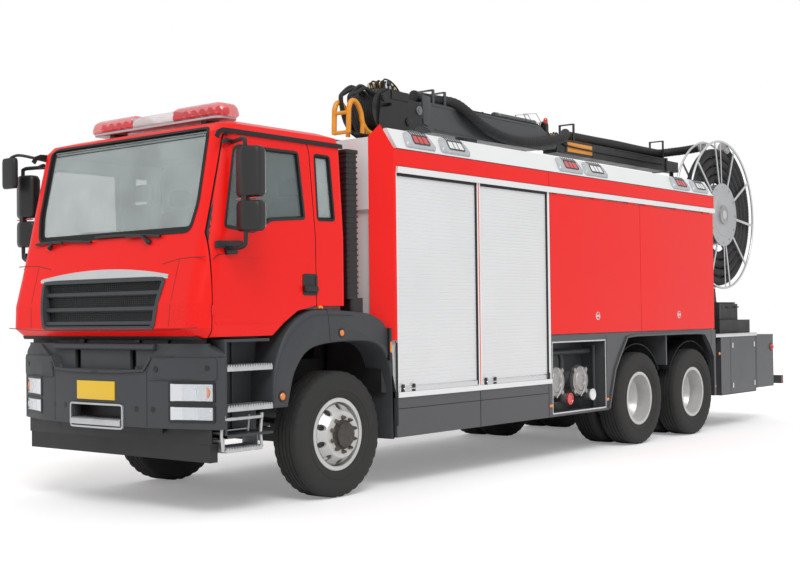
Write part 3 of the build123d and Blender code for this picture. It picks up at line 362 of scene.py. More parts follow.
cab_lining = surface("cab lining", (0.10, 0.10, 0.105), 0.70, vary=0.08, grain=1500.0, grain_height=0.0003)
amber_lens = surface("amber lens", (0.85, 0.22, 0.012), 0.16, coat=0.8, vary=0.06, patch=30.0)
pin_steel = surface("worn pin steel", (0.24, 0.25, 0.26), 0.42, metallic=0.8, vary=0.12, patch=20.0)
shadow_red = surface("shaded red seam", (0.30, 0.006, 0.005), 0.45, vary=0.03)
red_lens = surface("red lens", (0.62, 0.012, 0.014), 0.14, coat=0.9, vary=0.10, patch=25.0)
plate_yellow = surface("blank plate", (0.80, 0.50, 0.015), 0.38, coat=0.3, vary=0.03)
mirror_silver = surface("mirror glass", (0.62, 0.64, 0.66), 0.04, metallic=1.0, vary=0.01, rough_spread=0.01)
brass = surface("brass fittings", (0.62, 0.44, 0.16), 0.34, metallic=0.9, vary=0.15, patch=30.0)
lamp_reflector = surface("lamp reflector", (0.75, 0.77, 0.80), 0.12, metallic=1.0, vary=0.05, patch=40.0)


def clear_material(name, colour, alpha, rough=0.02):
    """Thin clear pane or lens: a share of it shows, the rest lets light through."""
    material, tree, shader = new_material(name)
    stains = object_noise(tree, 3.0, 4.0)
    low, high = varied(colour, 0.15)
    tree.links.new(ramp(tree, stains, [(0.3, low), (0.7, high)]), shader.inputs["Base Color"])
    socket(shader, "Roughness", rough)
    socket(shader, "Specular IOR Level", 1.0)
    socket(shader, "Coat Weight", 1.0)
    socket(shader, "Coat Roughness", 0.01)
    socket(shader, "Alpha", alpha)
    return material


window_glass = clear_material("window glass", (0.58, 0.66, 0.65), 0.36)
door_pane = clear_material("door window glass", (0.16, 0.21, 0.21), 0.42)
lens_glass = clear_material("lamp glass", (0.60, 0.63, 0.66), 0.14)
red_dome = clear_material("red dome", (0.88, 0.035, 0.05), 0.62, 0.04)
bar_clear = clear_material("clear bar lens", (0.86, 0.80, 0.80), 0.55, 0.04)


def dress(name, *materials):
    """Gives a carried-over solid its materials, the first one all over."""
    mesh = nodes[name].data
    mesh.materials.clear()
    for material in materials:
        mesh.materials.append(material)
    for face in mesh.polygons:
        face.material_index = 0


def repaint(name, material, chosen):
    """Gives one of a solid's materials to the faces that chosen(centre in millimetres, normal) accepts."""
    mesh = nodes[name].data
    index = mesh.materials.find(material.name)
    for face in mesh.polygons:
        centre = face.center * 1000
        centre.y -= front_axle_y
        if chosen(centre, face.normal):
            face.material_index = index


cab_front = [(1390, -1545), (1465, -1640), (1655, -1632), (1900, -1566), (2205, -1492), (3000, -1322),
             (3062, -1270), (3105, -1120)]
cab_half = [(1390, 1216), (1465, 1218), (1655, 1220), (2205, 1220), (3000, 1172), (3062, 1140), (3105, 1020)]


def from_table(table, z):
    """Value at a height between a table's levels."""
    for (low, first), (high, last) in zip(table, table[1:]):
        if z <= high:
            return first + (last - first) * (z - low) / (high - low)
    return table[-1][1]


for finish, names in (
        (chassis_black, "axles frame powertrain reel_stand knuckle_left knuckle_right"),
        (dark_grey, "bumper front_wings grille"),
        (tread_metal, "cab_steps"),
        (black_plastic, "snorkel front_mirror mirror_left mirror_right"),
        (white_paint, "roof_coaming side_rails"),
        (red_paint, "body_red_panels hatch_front_left hatch_front_right hatch_rear_left hatch_rear_right"),
        (shutter_metal, "roller_shutters"),
        (panel_grey, "body_skirts rear_platform"),
        (coupling_metal, "pump_outlets"),
        (reel_metal, "hose_reel"),
        (hose_rubber, "hose_coil boom_hose jib_hose"),
        (crane_black, "crane_base crane_column boom_jib boom_extension lift_barrel"),
        (crane_grey, "boom_main"),
        (chrome, "lift_rod jib_rod"),
        (lamp_reflector, "lamps"),
        (window_glass, "cab_glass"),
        (door_pane, "door_glass_left door_glass_right"),
        (seat_cloth, "cab_interior"),
        (red_dome, "light_bar"),
        (tyre_rubber, "front_tyre_left front_tyre_right bogie_tyres_front_left bogie_tyres_front_right"),
        (tyre_rubber, "bogie_tyres_back_left bogie_tyres_back_right"),
        (wheel_silver, "bogie_wheels_front_left bogie_wheels_front_right"),
        (wheel_silver, "bogie_wheels_back_left bogie_wheels_back_right")):
    for node_name in names.split():
        dress(node_name, finish)

dress("body_frame", white_paint, chassis_black)
repaint("body_frame", chassis_black,
        lambda centre, normal: centre.z < 1660 and centre.y < 3200 or centre.z < 1290)
cab_middle = Vector((0, -600, 2300))
dress("cab_shell", red_paint, pale_lining, chassis_black)
repaint("cab_shell", pale_lining, lambda centre, normal: (cab_middle - centre).dot(normal) > 0
        and centre.z > 1500 and abs(centre.x) < 1186 and centre.y > from_table(cab_front, centre.z) + 30)
# Painted shade: the door-opening jambs, red on the real cab, are painted black so the gaps round the doors
# read as shadow.
repaint("cab_shell", chassis_black, lambda centre, normal: abs(centre.x) > 1080 and abs(normal.x) < 0.6
        and 1400 < centre.z < 2990 and (cab_middle - centre).dot(normal) > 0)
repaint("cab_shell", chassis_black, lambda centre, normal: centre.z < 1385)
for side_name in sides:
    wheel, door = f"front_wheel_{side_name}", f"door_{side_name}"
    dress(wheel, wheel_silver, hub_metal)
    repaint(wheel, hub_metal,
            lambda centre, normal: abs(centre.x) > 1180 and hypot(centre.y, centre.z - axle_z) < 106)
    dress(door, red_paint, black_plastic, pale_lining)
    repaint(door, pale_lining, lambda centre, normal: centre.x * normal.x < -0.6 * abs(centre.x))
    # Painted shade: the door's thin edges are painted black so the seam round the door reads as shadow.
    repaint(door, black_plastic, lambda centre, normal: abs(normal.x) < 0.6)
    repaint(door, black_plastic, lambda centre, normal: abs(centre.x) > 1220.5 and centre.y > -600)


def form_of(name, kept=None, moved=None):
    """Millimetre form of a CAD node's mesh, with only the faces that kept() accepts and its points moved."""
    work = bmesh.new()
    work.from_mesh(nodes[name].data)
    bmesh.ops.remove_doubles(work, verts=work.verts, dist=0.00001)
    bmesh.ops.dissolve_limit(work, angle_limit=0.01, verts=work.verts, edges=work.edges)
    form = Form()
    points = [(v.co.x * 1000, v.co.y * 1000 - front_axle_y, v.co.z * 1000) for v in work.verts]
    faces = []
    for face in work.faces:
        centre = face.calc_center_median() * 1000
        if kept is None or kept(Vector((centre.x, centre.y - front_axle_y, centre.z))):
            faces.append([vertex.index for vertex in face.verts])
    used = sorted({index for face in faces for index in face})
    places = {index: place for place, index in enumerate(used)}
    form.add([moved(points[index]) if moved else points[index] for index in used],
             [tuple(places[index] for index in face) for face in faces])
    work.free()
    return form


# Wheels
def tyre_form(centres):
    """Tyres with grooved treads and notched shoulders, side by side about the X axis."""
    half = [(110, 290), (110, 309), (124, 313), (138, 328), (149, 362), (151, 372), (155, 374), (155, 382),
            (152, 386), (156, 420), (155, 455), (149, 490), (138, 518), (122, 533), (112, 537),
            (70, 538), (66, 524), (58, 524), (54, 538), (28, 538), (24, 524), (16, 524), (12, 538)]
    profile = half + [(-offset, radius) for offset, radius in reversed(half)]
    segments = 108
    form = Form()
    for centre in centres:
        rows = []
        for step, (c, s) in enumerate(circle(segments)):
            notch = 9 if step % 3 == 0 else 0
            row = []
            for offset, radius in profile:
                cut = notch if 515 < radius < 537.5 and abs(offset) > 110 else 0
                if 27 < abs(offset) < 55 and radius > 537 and step % 6 == 0:
                    cut = 7
                reach = radius - cut
                row.append((centre + offset, reach * c, reach * s))
            rows.append(row)
        rows.append(rows[0])
        form.rows(rows)
    return form


def shared_mesh(name, form, materials, smooth=38):
    """Mesh of a form about its own origin, in metres."""
    made = piece(name, form, "root", materials, smooth=smooth, place=(0, 0, 0))
    mesh = made.data
    bpy.data.objects.remove(made)
    return mesh


def wheel_fittings(face, cap_end, hub_radius):
    """Nuts on their studs, and the hub's cap, facing +X from the wheel's centre."""
    form = Form()
    for c, s in circle(10, 0.5):
        centre = (face, 145 * c, 145 * s)
        form.turned([(-1, 21), (4, 21), (5, 16.5), (24, 16.5), (25, 9), (37, 8.5), (38, 7)],
                    centre, outward, 6)
        form.turned([(20, 8.5), (38, 8.5)], centre, outward, 10)
    form.tone = 1
    form.turned([(face - 20, hub_radius + 22), (face + 5, hub_radius + 22), (face + 8, hub_radius + 14),
                 (face + 12, hub_radius + 3), (cap_end - 12, hub_radius - 2), (cap_end - 3, hub_radius - 12),
                 (cap_end - 3, hub_radius - 30), (cap_end - 1, hub_radius - 34), (cap_end - 1, 20)],
                (0, 0, 0), outward, 40)
    for c, s in circle(8):
        form.turned([(0, 8), (7, 8), (8, 6)], (cap_end - 8, 84 * c, 84 * s), outward, 6)
    return form


single_tyre = shared_mesh("tyre", tyre_form([0]), [tyre_rubber], smooth=30)
dual_tyre = shared_mesh("dual tyres", tyre_form([-176, 176]), [tyre_rubber], smooth=30)
front_fittings = shared_mesh("front nuts", wheel_fittings(176, 218, 105), [nut_metal, hub_metal])
rear_fittings = shared_mesh("rear nuts", wheel_fittings(15, 48, 105), [nut_metal, hub_metal])
front_tyre_x, dual_tyre_x = 1020, 914
half_turn = Matrix.Rotation(pi, 4, "Z")
for side_name, side in sides.items():
    facing = Matrix() if side > 0 else half_turn
    mounted(f"tyre_front_{side_name}", single_tyre, f"wheel_front_{side_name}", [],
            f"front_tyre_{side_name}", (side * front_tyre_x, 0, axle_z), facing)
    mounted(f"nuts_front_{side_name}", front_fittings, f"wheel_front_{side_name}", [], (),
            (side * front_tyre_x, 0, axle_z), facing)
    for place, axle_d in bogie_axles.items():
        wheels = f"wheels_{place}_{side_name}"
        mounted(f"tyres_{place}_{side_name}", dual_tyre, wheels, [],
                f"bogie_tyres_{place}_{side_name}", (side * dual_tyre_x, axle_d, axle_z), facing)
        mounted(f"nuts_{place}_{side_name}", rear_fittings, wheels, [], (),
                (side * dual_tyre_x, axle_d, axle_z), facing)


# Cab
def front_skin(lift=0):
    """Puts (x, z) points on the cab's front, lifted off it."""
    return lambda point, height: (point[0], from_table(cab_front, point[1]) - lift - height, point[1])


def side_skin(lift=0):
    """Puts (distance, z) points on the cab's left side, lifted off it."""
    return lambda point, height: (from_table(cab_half, point[1]) + lift + height, point[0], point[1])


def body_skin(x):
    """Puts (distance, z) points on a flat side at x."""
    return lambda point, height: (x + height, point[0], point[1])


def area_of(outline):
    """Signed area of an outline, above zero when it runs anticlockwise."""
    return sum(a[0] * b[1] - b[0] * a[1] for a, b in zip(outline, outline[1:] + outline[:1])) / 2


def band(form, outline, onto, outer, inner, rise, sink=2):
    """Raised strip round an outline, from outer outside it to inner inside it."""
    if area_of(outline) < 0:
        outline = outline[::-1]
    out_ring = ring_of(outline, -outer)
    in_ring = ring_of(outline, inner)
    loops = [[onto(p, -sink) for p in out_ring], [onto(p, rise) for p in out_ring],
             [onto(p, rise) for p in in_ring], [onto(p, -sink) for p in in_ring]]
    form.rows(loops + loops[:1], True)


def sheet_on(form, outline, onto, rise, sink=2):
    """Low raised area inside an outline."""
    form.rows([[onto(p, height) for p in outline] for height in (-sink, rise)], True, True)


def strip(form, line, onto, width, rise, sink=2):
    """Raised line of a width along open 2-D points."""
    line = [Vector(p) for p in line]
    left, right = [], []
    for index, point in enumerate(line):
        ahead = (line[min(index + 1, len(line) - 1)] - line[max(index - 1, 0)]).normalized()
        across = Vector((-ahead.y, ahead.x)) * width / 2
        left.append(tuple(point + across))
        right.append(tuple(point - across))
    loops = [[onto(a, -sink), onto(a, rise), onto(b, rise), onto(b, -sink)] for a, b in zip(left, right)]
    form.rows(loops, True, True)


def disc_on(form, centre, radius, onto, rise):
    """Low round plate on a skin."""
    ring = [(centre[0] + radius * c, centre[1] + radius * s) for c, s in circle(20)]
    small = [(centre[0] + (p[0] - centre[0]) * 0.85, centre[1] + (p[1] - centre[1]) * 0.85) for p in ring]
    form.rows([[onto(p, -2) for p in ring], [onto(p, rise * 0.6) for p in ring],
               [onto(p, rise) for p in small]], True, True)


def divided(first, last, count):
    """Even points from the first one up to the last, which is left out."""
    return [(first[0] + (last[0] - first[0]) * k / count, first[1] + (last[1] - first[1]) * k / count)
            for k in range(count)]


def spread(outline, longest=90):
    """Outline with extra points along its sides, so that it can follow a curved face."""
    found = []
    for first, last in zip(outline, outline[1:] + outline[:1]):
        found += divided(first, last, max(1, round(dist(first, last) / longest)))
    return found


windscreen = rounded([(-970, 2210), (970, 2210), (1019, 2430), (1008, 3030), (-1008, 3030),
                      (-1019, 2430)], 70, 6)
door_window = rounded([(-1352, 2240), (-1057, 2212), (-853, 2318), (-462, 2350), (-505, 2890), (-1180, 2884),
                       (-1222, 2850)], 26)
rear_window = rounded([(-300, 2345), (-95, 2352), (-120, 2890), (-300, 2893)], 24)
cab_trim = Form()
band(cab_trim, spread(windscreen), front_skin(), 13, 9, 4, sink=12)
band(cab_trim, spread(windscreen), front_skin(-17), 0, 42, 1)
strip(cab_trim, [(-1000, 2996), (1000, 2996)], front_skin(-17), 66, 1)
sheet_on(cab_trim, rounded([(-1150, 1374), (1150, 1374), (1120, 1402), (-1120, 1402)], 12), front_skin(), 3)
for side in sides.values():
    half = Form()
    band(half, rear_window, side_skin(), 10, 8, 3, sink=12)
    band(half, rear_window, side_skin(-17), 0, 24, 1)
    gutter = [(-1400, 2930), (-1376, 2970), (-1330, 2990)]
    gutter += [(-1250 + step * 1298 / 13, 2992) for step in range(14)]
    strip(half, gutter, side_skin(), 38, 15)
    strip(half, [(-1480, 1985), (-1440, 2020), (-1300, 2040)], side_skin(), 5, 1)
    half.flip(side)
    cab_trim.add(half.points, half.faces)
piece("cab_trim", cab_trim, "cab", seal_rubber)

for side_name, side in sides.items():
    trim = Form()
    band(trim, door_window, side_skin(), 12, 9, 3, sink=12)
    band(trim, door_window, side_skin(-17), 0, 20, 1)
    trim.prism([(-1292, 2966), (-1255, 2991), (-395, 2991), (-395, 2978), (-1250, 2977), (-1284, 2956)], "x",
               1150, 1181)
    sheet_on(trim, rounded([(-1462, 2072), (-1190, 2078), (-1190, 2136), (-1462, 2128)], 12), side_skin(), 26)
    handle = [(-494, 1722), (-330, 1722), (-330, 1888), (-494, 1888)]
    band(trim, rounded(handle, 18), side_skin(), 6, 18, 5)
    sheet_on(trim, rounded(handle, 18), side_skin(), 1.5)
    trim.prism(rounded([(1222, 1742), (1252, 1748), (1252, 1786), (1222, 1792)], 8), "d", -480, -340)
    trim.tube([side_skin(8)(p, 0) for p in ((-1340, 2895), (-1300, 2915), (-1235, 2910))], 17, 8)
    trim.flip(side)
    piece(f"door_trim_{side_name}", trim, f"door_{side_name}", black_plastic)
    lines = Form()
    strip(lines, [(-1462, 2000), (-900, 2006), (-400, 2004)], side_skin(), 7, 1.2)
    strip(lines, [(-1462, 1500), (-1100, 1508), (-860, 1500)], side_skin(), 16, 4)
    lines.flip(side)
    piece(f"door_crease_{side_name}", lines, f"door_{side_name}", red_paint, bevel=1)

wipers = Form()
onto = front_skin(16)
for pivot, first, last in (((-785, 2154), (-983, 2192), (-216, 2180)),
                           ((517, 2146), (-170, 2213), (652, 2187))):
    middle = ((first[0] + last[0]) / 2, (first[1] + last[1]) / 2)
    wipers.turned([(-30, 20), (6, 20), (14, 14), (18, 4)], onto(pivot, 0), (0, -1, 0), 14)
    wipers.tube([onto(p, h) for p, h in ((pivot, 8), ((pivot[0] * 0.7 + middle[0] * 0.3, 2200), 16),
                                         (middle, 14))], 9, 6, radii=[16, 13, 9])
    wipers.tube([onto((first[0] + (last[0] - first[0]) * t, first[1] + (last[1] - first[1]) * t
                       + 14 * sin(pi * t)), 4) for t in (0, 0.15, 0.3, 0.5, 0.7, 0.85, 1)], 12, 6)
piece("wipers", wipers, "cab", black_plastic)

grille_strip = Form()
rows = []
onto = front_skin()
for step in range(41):
    share = step / 20 - 1
    x = 818 * share
    top = 1882 + 61 * (1 - share * share)
    low = 1851 + 19 * (1 - share * share)
    rows.append([onto((x, low), -3), onto((x, low), 6), onto((x, (low + top) / 2), 13), onto((x, top), 6),
                 onto((x, top), -3)])
grille_strip.rows(rows, True, True)
piece("grille_strip", grille_strip, "cab", trim_metal, smooth=50)

grille_parts = Form()
opening = spread(rounded([(-700, 1470), (700, 1470), (772, 1848), (-772, 1848)], 40, 5))
band(grille_parts, opening, front_skin(), 22, 14, 9)
band(grille_parts, opening, front_skin(-60), 4, 14, 70)
sheet_on(grille_parts, opening, front_skin(-60), 4, sink=8)
for z, half in ((1506, 700), (1620, 726), (1745, 748)):
    slat = [(-1638 + (z - 1506) * 0.19, z - 12), (-1628 + (z - 1506) * 0.19, z + 16),
            (-1570, z + 18), (-1570, z - 18), (-1620 + (z - 1506) * 0.19, z - 22)]
    grille_parts.prism(slat, "x", -half, half)
piece("grille_slats", grille_parts, "cab", dark_grey, bevel=3, replaces="grille")
mesh_bars = Form()
for step in range(60):
    x = -725 + step * 1450 / 59
    mesh_bars.tube([(x, -1578, 1480), (x, -1560, 1835)], 3, 4)
for step in range(22):
    z = 1484 + step * 16
    mesh_bars.tube([(-725, -1580 + step, z), (725, -1580 + step, z)], 3, 4)
piece("grille_mesh", mesh_bars, "cab", black_plastic)

panel_lines = Form()
for side in sides.values():
    half = Form()
    for line, width in (([(905, 2000), (900, 1700), (880, 1420)], 6),
                        ([(720, 1965), (905, 2000), (1080, 2006), (1200, 2004)], 8),
                        ([(20, 1446), (400, 1446), (880, 1452), (1205, 1470)], 7)):
        path = []
        for first, last in zip(line, line[1:]):
            path += divided(first, last, 5)
        strip(half, path + [line[-1]], front_skin(), width, 1.2)
    half.flip(side)
    panel_lines.add(half.points, half.faces)
piece("cab_panel_lines", panel_lines, "cab", shadow_red, bevel=0)


# Light bar
bar_d = -925
bar_base_z = 3177
bar_profile = [(-1030, 3177), (-1058, 3196), (-1060, 3232), (-1038, 3284), (-1000, 3310), (-850, 3310),
               (-812, 3284), (-790, 3232), (-792, 3196), (-820, 3177)]


def pod(form, stations):
    """Lens along X: its profile at each (x, share across, share high)."""
    form.rows([[(x, bar_d + (d - bar_d) * across, bar_base_z + (z - bar_base_z) * high)
                for d, z in bar_profile] for x, across, high in stations], True, True)


red_pods = Form()
red_stations = ((266, 0.90, 0.86), (274, 0.94, 0.9), (500, 0.94, 0.9), (750, 0.94, 0.9), (806, 0.86, 0.84),
                (834, 0.72, 0.72), (844, 0.58, 0.60))
for side in (-1, 1):
    pod(red_pods, [(side * x, across, high) for x, across, high in red_stations])
piece("bar_lenses", red_pods, "cab", red_dome, bevel=5, smooth=50, replaces="light_bar")
clear_pod = Form()
pod(clear_pod, [(-258, 0.86, 0.7), (-250, 0.9, 0.76), (250, 0.9, 0.76), (258, 0.86, 0.7)])
piece("bar_middle", clear_pod, "cab", bar_clear, bevel=5, smooth=50)
tray = Form()
tray.prism(rounded([(-830, -1000), (-770, -1046), (770, -1046), (830, -1000), (830, -850), (770, -804),
                    (-770, -804), (-830, -850)], 30), "z", 3160, 3178)
for side in (-1, 1):
    tray.box((side * 259, side * 265), (-1036, -814), (3176, 3270))
for x in (-700, -540, -380, -170, 0, 170, 380, 540, 700):
    tray.box((x - 52, x + 52), (-1000, -850), (3178, 3200))
piece("bar_tray", tray, "cab", lamp_housing, bevel=3)
bulbs = Form()
for x in (-740, -640, -540, -440, -340, 340, 440, 540, 640, 740):
    for d in (-1000, -850):
        bulbs.turned([(0, 20), (40, 36), (46, 36), (42, 31), (8, 16)], (x, bar_d, 3234),
                     (0, d - bar_d, 0), 14)
piece("bar_bulbs", bulbs, "cab", red_lens)
caps = Form()
for x in (-593, 593):
    caps.box((x - 60, x + 60), (-1010, -840), (3104, 3120))
    caps.box((x - 30, x + 30), (-1000, -850), (3118, 3160))
piece("bar_feet", caps, "cab", dark_grey, bevel=4)


# Mirrors
mirror_plan = [(1300, -1325), (1430, -1380), (1560, -1325), (1545, -1230), (1318, -1230)]


def housing(form, plan, low, high, corner=34):
    """Upright housing with rounded corners and soft ends."""
    middle = Vector((sum(p[0] for p in plan) / len(plan), sum(p[1] for p in plan) / len(plan)))
    ring = rounded(plan, corner, 5)
    levels = ((low, 0.80), (low + 7, 0.90), (low + 20, 0.97), (low + 42, 1), ((low + high) / 2, 1),
              (high - 42, 1), (high - 20, 0.97), (high - 7, 0.9), (high, 0.8))
    form.rows([[(*(middle + (Vector(p) - middle) * share), z) for p in ring] for z, share in levels],
              True, True)


for side_name, side in sides.items():
    mirror = Form()
    housing(mirror, mirror_plan, 2459, 2840)
    housing(mirror, mirror_plan, 2198, 2427)
    mirror.tube(smooth_path([(1216, -1345, 2074), (1350, -1340, 2072), (1415, -1340, 2090),
                             (1430, -1340, 2150), (1430, -1340, 2500), (1430, -1340, 2840),
                             (1418, -1336, 2895), (1340, -1300, 2905), (1170, -1232, 2905)], 5), 17, 10)
    mirror.prism(rounded([(-1360, 2022), (-1245, 2030), (-1262, 2106), (-1380, 2110)], 16), "x", 1216, 1248)
    mirror.box((1405, 1455), (-1362, -1318), (2405, 2480))
    mirror.flip(side)
    piece(f"mirror_case_{side_name}", mirror, f"door_{side_name}", black_plastic, smooth=50,
          replaces=f"mirror_{side_name}")
    panes = Form()
    for low, high in ((2484, 2816), (2222, 2404)):
        panes.prism(rounded([(1330, low), (1534, low), (1534, high), (1330, high)], 22), "d", -1232, -1228)
    panes.flip(side)
    piece(f"mirror_glass_{side_name}", panes, f"door_{side_name}", mirror_silver)
    blinker = Form()
    blinker.prism(rounded([(1330, 2438), (1530, 2438), (1530, 2448), (1330, 2448)], 4), "d", -1340, -1300)
    blinker.flip(side)
    piece(f"mirror_lamp_{side_name}", blinker, f"door_{side_name}", red_lens, bevel=2)
kerb_mirror = Form()
kerb_mirror.tube(smooth_path([(-1160, -1252, 2952), (-1290, -1440, 3000), (-1370, -1478, 2996),
                              (-1428, -1478, 2975)], 5), 13, 8)
housing(kerb_mirror, [(-1520, -1502), (-1340, -1502), (-1330, -1450), (-1530, -1450)], 2714, 2985, 22)
piece("kerb_mirror_case", kerb_mirror, "door_right", black_plastic, smooth=50,
      replaces="front_mirror")


# Bumper and lamps
bumper_back_d = -1480
bumper_share = 0.91
bow_radius = 4575
bow_half = 825


def bumper_face(lift=0):
    """Puts (x, z) points on the bumper's bowed front, lifted off it."""
    def onto(point, height):
        x = abs(point[0])
        if x <= bow_half:
            d = 2910 - sqrt(bow_radius**2 - x**2)
        else:
            d = -1590 + 140 * (x - bow_half) / 415
        d = bumper_back_d + (d - bumper_back_d) * bumper_share
        return (point[0], d - lift - height, point[1])
    return onto


def drawn_in(point):
    """Bumper point, drawn back to leave room for what stands on its face."""
    if point[1] >= bumper_back_d:
        return point
    return (point[0], bumper_back_d + (point[1] - bumper_back_d) * bumper_share, point[2])


piece("bumper_shell", form_of("bumper", moved=drawn_in), "root", dark_grey, bevel=7, smooth=40,
      replaces="bumper")


def plate_on(form, low, high, z0, z1, onto, rise, sink=2):
    """Plate that follows a bowed face between two x and two heights."""
    columns = 14
    rows = []
    for step in range(columns + 1):
        x = low + (high - low) * step / columns
        rows.append([onto((x, z0), -sink), onto((x, z0), rise), onto((x, z1), rise), onto((x, z1), -sink)])
    form.rows(rows, True, True)


face = bumper_face()
plate = Form()
plate_on(plate, -240, 240, 894, 1044, face, 10)
piece("blank_plate", plate, "root", plate_yellow, bevel=3)
bumper_dark = Form()
for x in (-628, -470, 502, 690):
    disc_on(bumper_dark, (x, 1148), 24, bumper_face(9), 1.5)
for x in (-600, -430, 480, 655):
    disc_on(bumper_dark, (x, 833), 24, face, 1.5)
for x in (-1150, 1150):
    disc_on(bumper_dark, (x, 1158), 22, bumper_face(9), 1.5)
for x in (-592, 592):
    strip(bumper_dark, [(x, 700), (x, 1136)], face, 7, 1)
for side in (-1, 1):
    for z0, z1 in ((742, 878), (887, 1055)):
        outline = spread(rounded([(side * 815, z0), (side * 1212, z0), (side * 1212, z1), (side * 815, z1)],
                                 20))
        band(bumper_dark, outline, face, 0, 20, 6)
band(bumper_dark, spread(rounded([(-330, 655), (330, 655), (330, 872), (-330, 872)], 30)), face, 0, 26, 4)
piece("bumper_details", bumper_dark, "root", black_plastic)

bumper_skin = Form()
for side in (-1, 1):
    outline = spread(rounded([(side * 604, 1062), (side * 1226, 1062), (side * 1226, 1236),
                              (side * 648, 1236)], 30))
    sheet_on(bumper_skin, outline, face, 9)
    strip(bumper_skin, [(side * 640, 1236), (side * 566, 1136), (side * 300, 1124), (side * 100, 1122),
                        (0, 1122)], face, 20, 16)
for side in (-1, 1):
    outline = spread(rounded([(side * 700, 1234), (side * 1232, 1234), (side * 1222, 1275),
                              (side * 1120, 1342), (side * 860, 1342), (side * 780, 1290)], 36))
    sheet_on(bumper_skin, outline, bumper_face(-46), 36, sink=40)
piece("bumper_skin", bumper_skin, "root", dark_grey, bevel=6)
visor = Form()
visor.prism([(-1540, 1290), (-1580, 1292), (-1596, 1310), (-1588, 1340), (-1540, 1348)], "x", -640, 640)
piece("cab_lower_visor", visor, "cab", dark_grey, bevel=9, smooth=60)
gap_panel = Form()
gap_panel.box((-705, 705), (-1490, -1474), (1120, 1380))
gap_panel.box((-640, 640), (-1500, -1484), (640, 900))
gap_panel.box((-1100, 1100), (-1470, -1440), (1236, 1384))
gap_panel.box((-1160, 1160), (-1466, -1450), (570, 760))
piece("bumper_gap_panels", gap_panel, "root", chassis_black, bevel=3)

bumper_step = Form()
band(bumper_step, spread(rounded([(-340, 664), (340, 664), (340, 866), (-340, 866)], 36)), face, 0, 15, 13)
bumper_step.box((-315, 315), (-1656, -1510), (715, 731))
bumper_step.box((-315, 315), (-1660, -1648), (690, 735))
for step in range(21):
    x = -300 + step * 30
    bumper_step.prism([(x - 10, 731), (x + 10, 731), (x, 745)], "d", -1656, -1520)
piece("bumper_step", bumper_step, "root", tread_metal, bevel=1)

lamp_bowls = Form()
lamp_glass = Form()
lamp_amber = Form()
for side in (-1, 1):
    for z0, z1, bulbs in ((905, 1037, (890, 1000, 1110)), (760, 860, (880, 960, 1050, 1140))):
        plate_on(lamp_glass, side * 838, side * 1187, z0 + 3, z1 - 3, face, 4, sink=0)
        radius = (z1 - z0) / 2 - 12
        for index, x in enumerate(bulbs):
            d = face((x, 0), 0)[1]
            target = lamp_amber if z0 > 800 and index == 2 else lamp_bowls
            bowl = [(0, radius), (-18, radius * 0.8), (-30, radius * 0.4), (-22, radius * 0.34),
                    (-8, radius * 0.30), (-4, radius * 0.1)]
            target.turned(bowl, (side * x, d + 10, (z0 + z1) / 2), (0, -1, 0), 22)
        for z in (z0 + 4, z1 - 4):
            plate_on(lamp_bowls, side * 838, side * 1187, z - 4, z + 4, face, 1, sink=18)
piece("lamp_bowls", lamp_bowls, "root", lamp_reflector)
piece("lamp_amber", lamp_amber, "root", amber_lens)
piece("lamp_covers", lamp_glass, "root", lens_glass, bevel=4)


# Front wings and steps
wing_inner = [(-690, 813), (-666, 900), (-600, 1100), (-440, 1262), (-152, 1318), (300, 1318), (500, 1250),
              (600, 1100), (636, 900), (640, 445)]
wing_outer = [(655, 445), (655, 1000), (640, 1250), (560, 1450), (400, 1545), (200, 1576), (-286, 1603),
              (-480, 1572), (-640, 1480), (-760, 1330), (-845, 1100), (-856, 813)]
wing = Form()
outline = smooth_flat(wing_inner, 4) + smooth_flat(wing_outer, 4)
if area_of(outline) < 0:
    outline.reverse()
rows = []
for x, inset in ((935, 0), (1196, 0), (1214, 2.5), (1224, 7), (wing_x, 15)):
    rows.append([(x, *point) for point in ring_of(outline, inset * 0.9)])
wing.rows(rows, True, True)
wing.box((940, 970), (-1378, -802), (620, 1375))
wing.box((940, 1226), (-1378, -862), (620, 640))
wing.box((940, 1226), (-1378, -1358), (620, 1375))
wing.box((436, 945), (-1240, -1200), (700, 1000))
wing.box((965, 985), (-1080, -1062), (640, 1370))
wing.box((965, 1200), (-1376, -870), (1352, 1375))
wing.both()
piece("front_wing_skins", wing, "root", dark_grey, smooth=45, replaces="front_wings")

wing_lines = Form()
onto = body_skin(wing_x)
strip(wing_lines, [(-222, 1597), (-203, 1540), (-181, 1330)], onto, 7, 0.8, sink=8)
strip(wing_lines, [(-222, 1597), (-224, 1599)], onto, 7, 1)
wing_lines.both()
piece("wing_seams", wing_lines, "root", seal_rubber)
wing_lip = Form()
lip = [(-836, 880), (-815, 1100), (-730, 1300), (-610, 1440), (-460, 1530), (-290, 1560), (100, 1552)]
strip(wing_lip, smooth_flat(lip, 5), onto, 9, 4, sink=10)
wing_lip.both()
piece("wing_ridge", wing_lip, "root", dark_grey, bevel=1.5)

markers = Form()
for centre, radius in (((-38, 1400), 34), ((-760, 905), 40)):
    markers.turned([(-6, radius + 7), (4, radius + 6), (6, radius)], (1231, *centre), outward, 24)
markers.both()
piece("marker_bases", markers, "root", black_plastic)
lenses = Form()
lenses.ball((1216, -38, 1400), 34, outward, 0.5, 20, 6)
lenses.ball((1214, -760, 905), 38, outward, 0.5, 20, 6)
lenses.tube([(1226, -325, 1616), (1229, -300, 1622), (1226, -275, 1616)], 12, 8)
lenses.both()
piece("marker_lenses", lenses, "root", amber_lens, smooth=60)

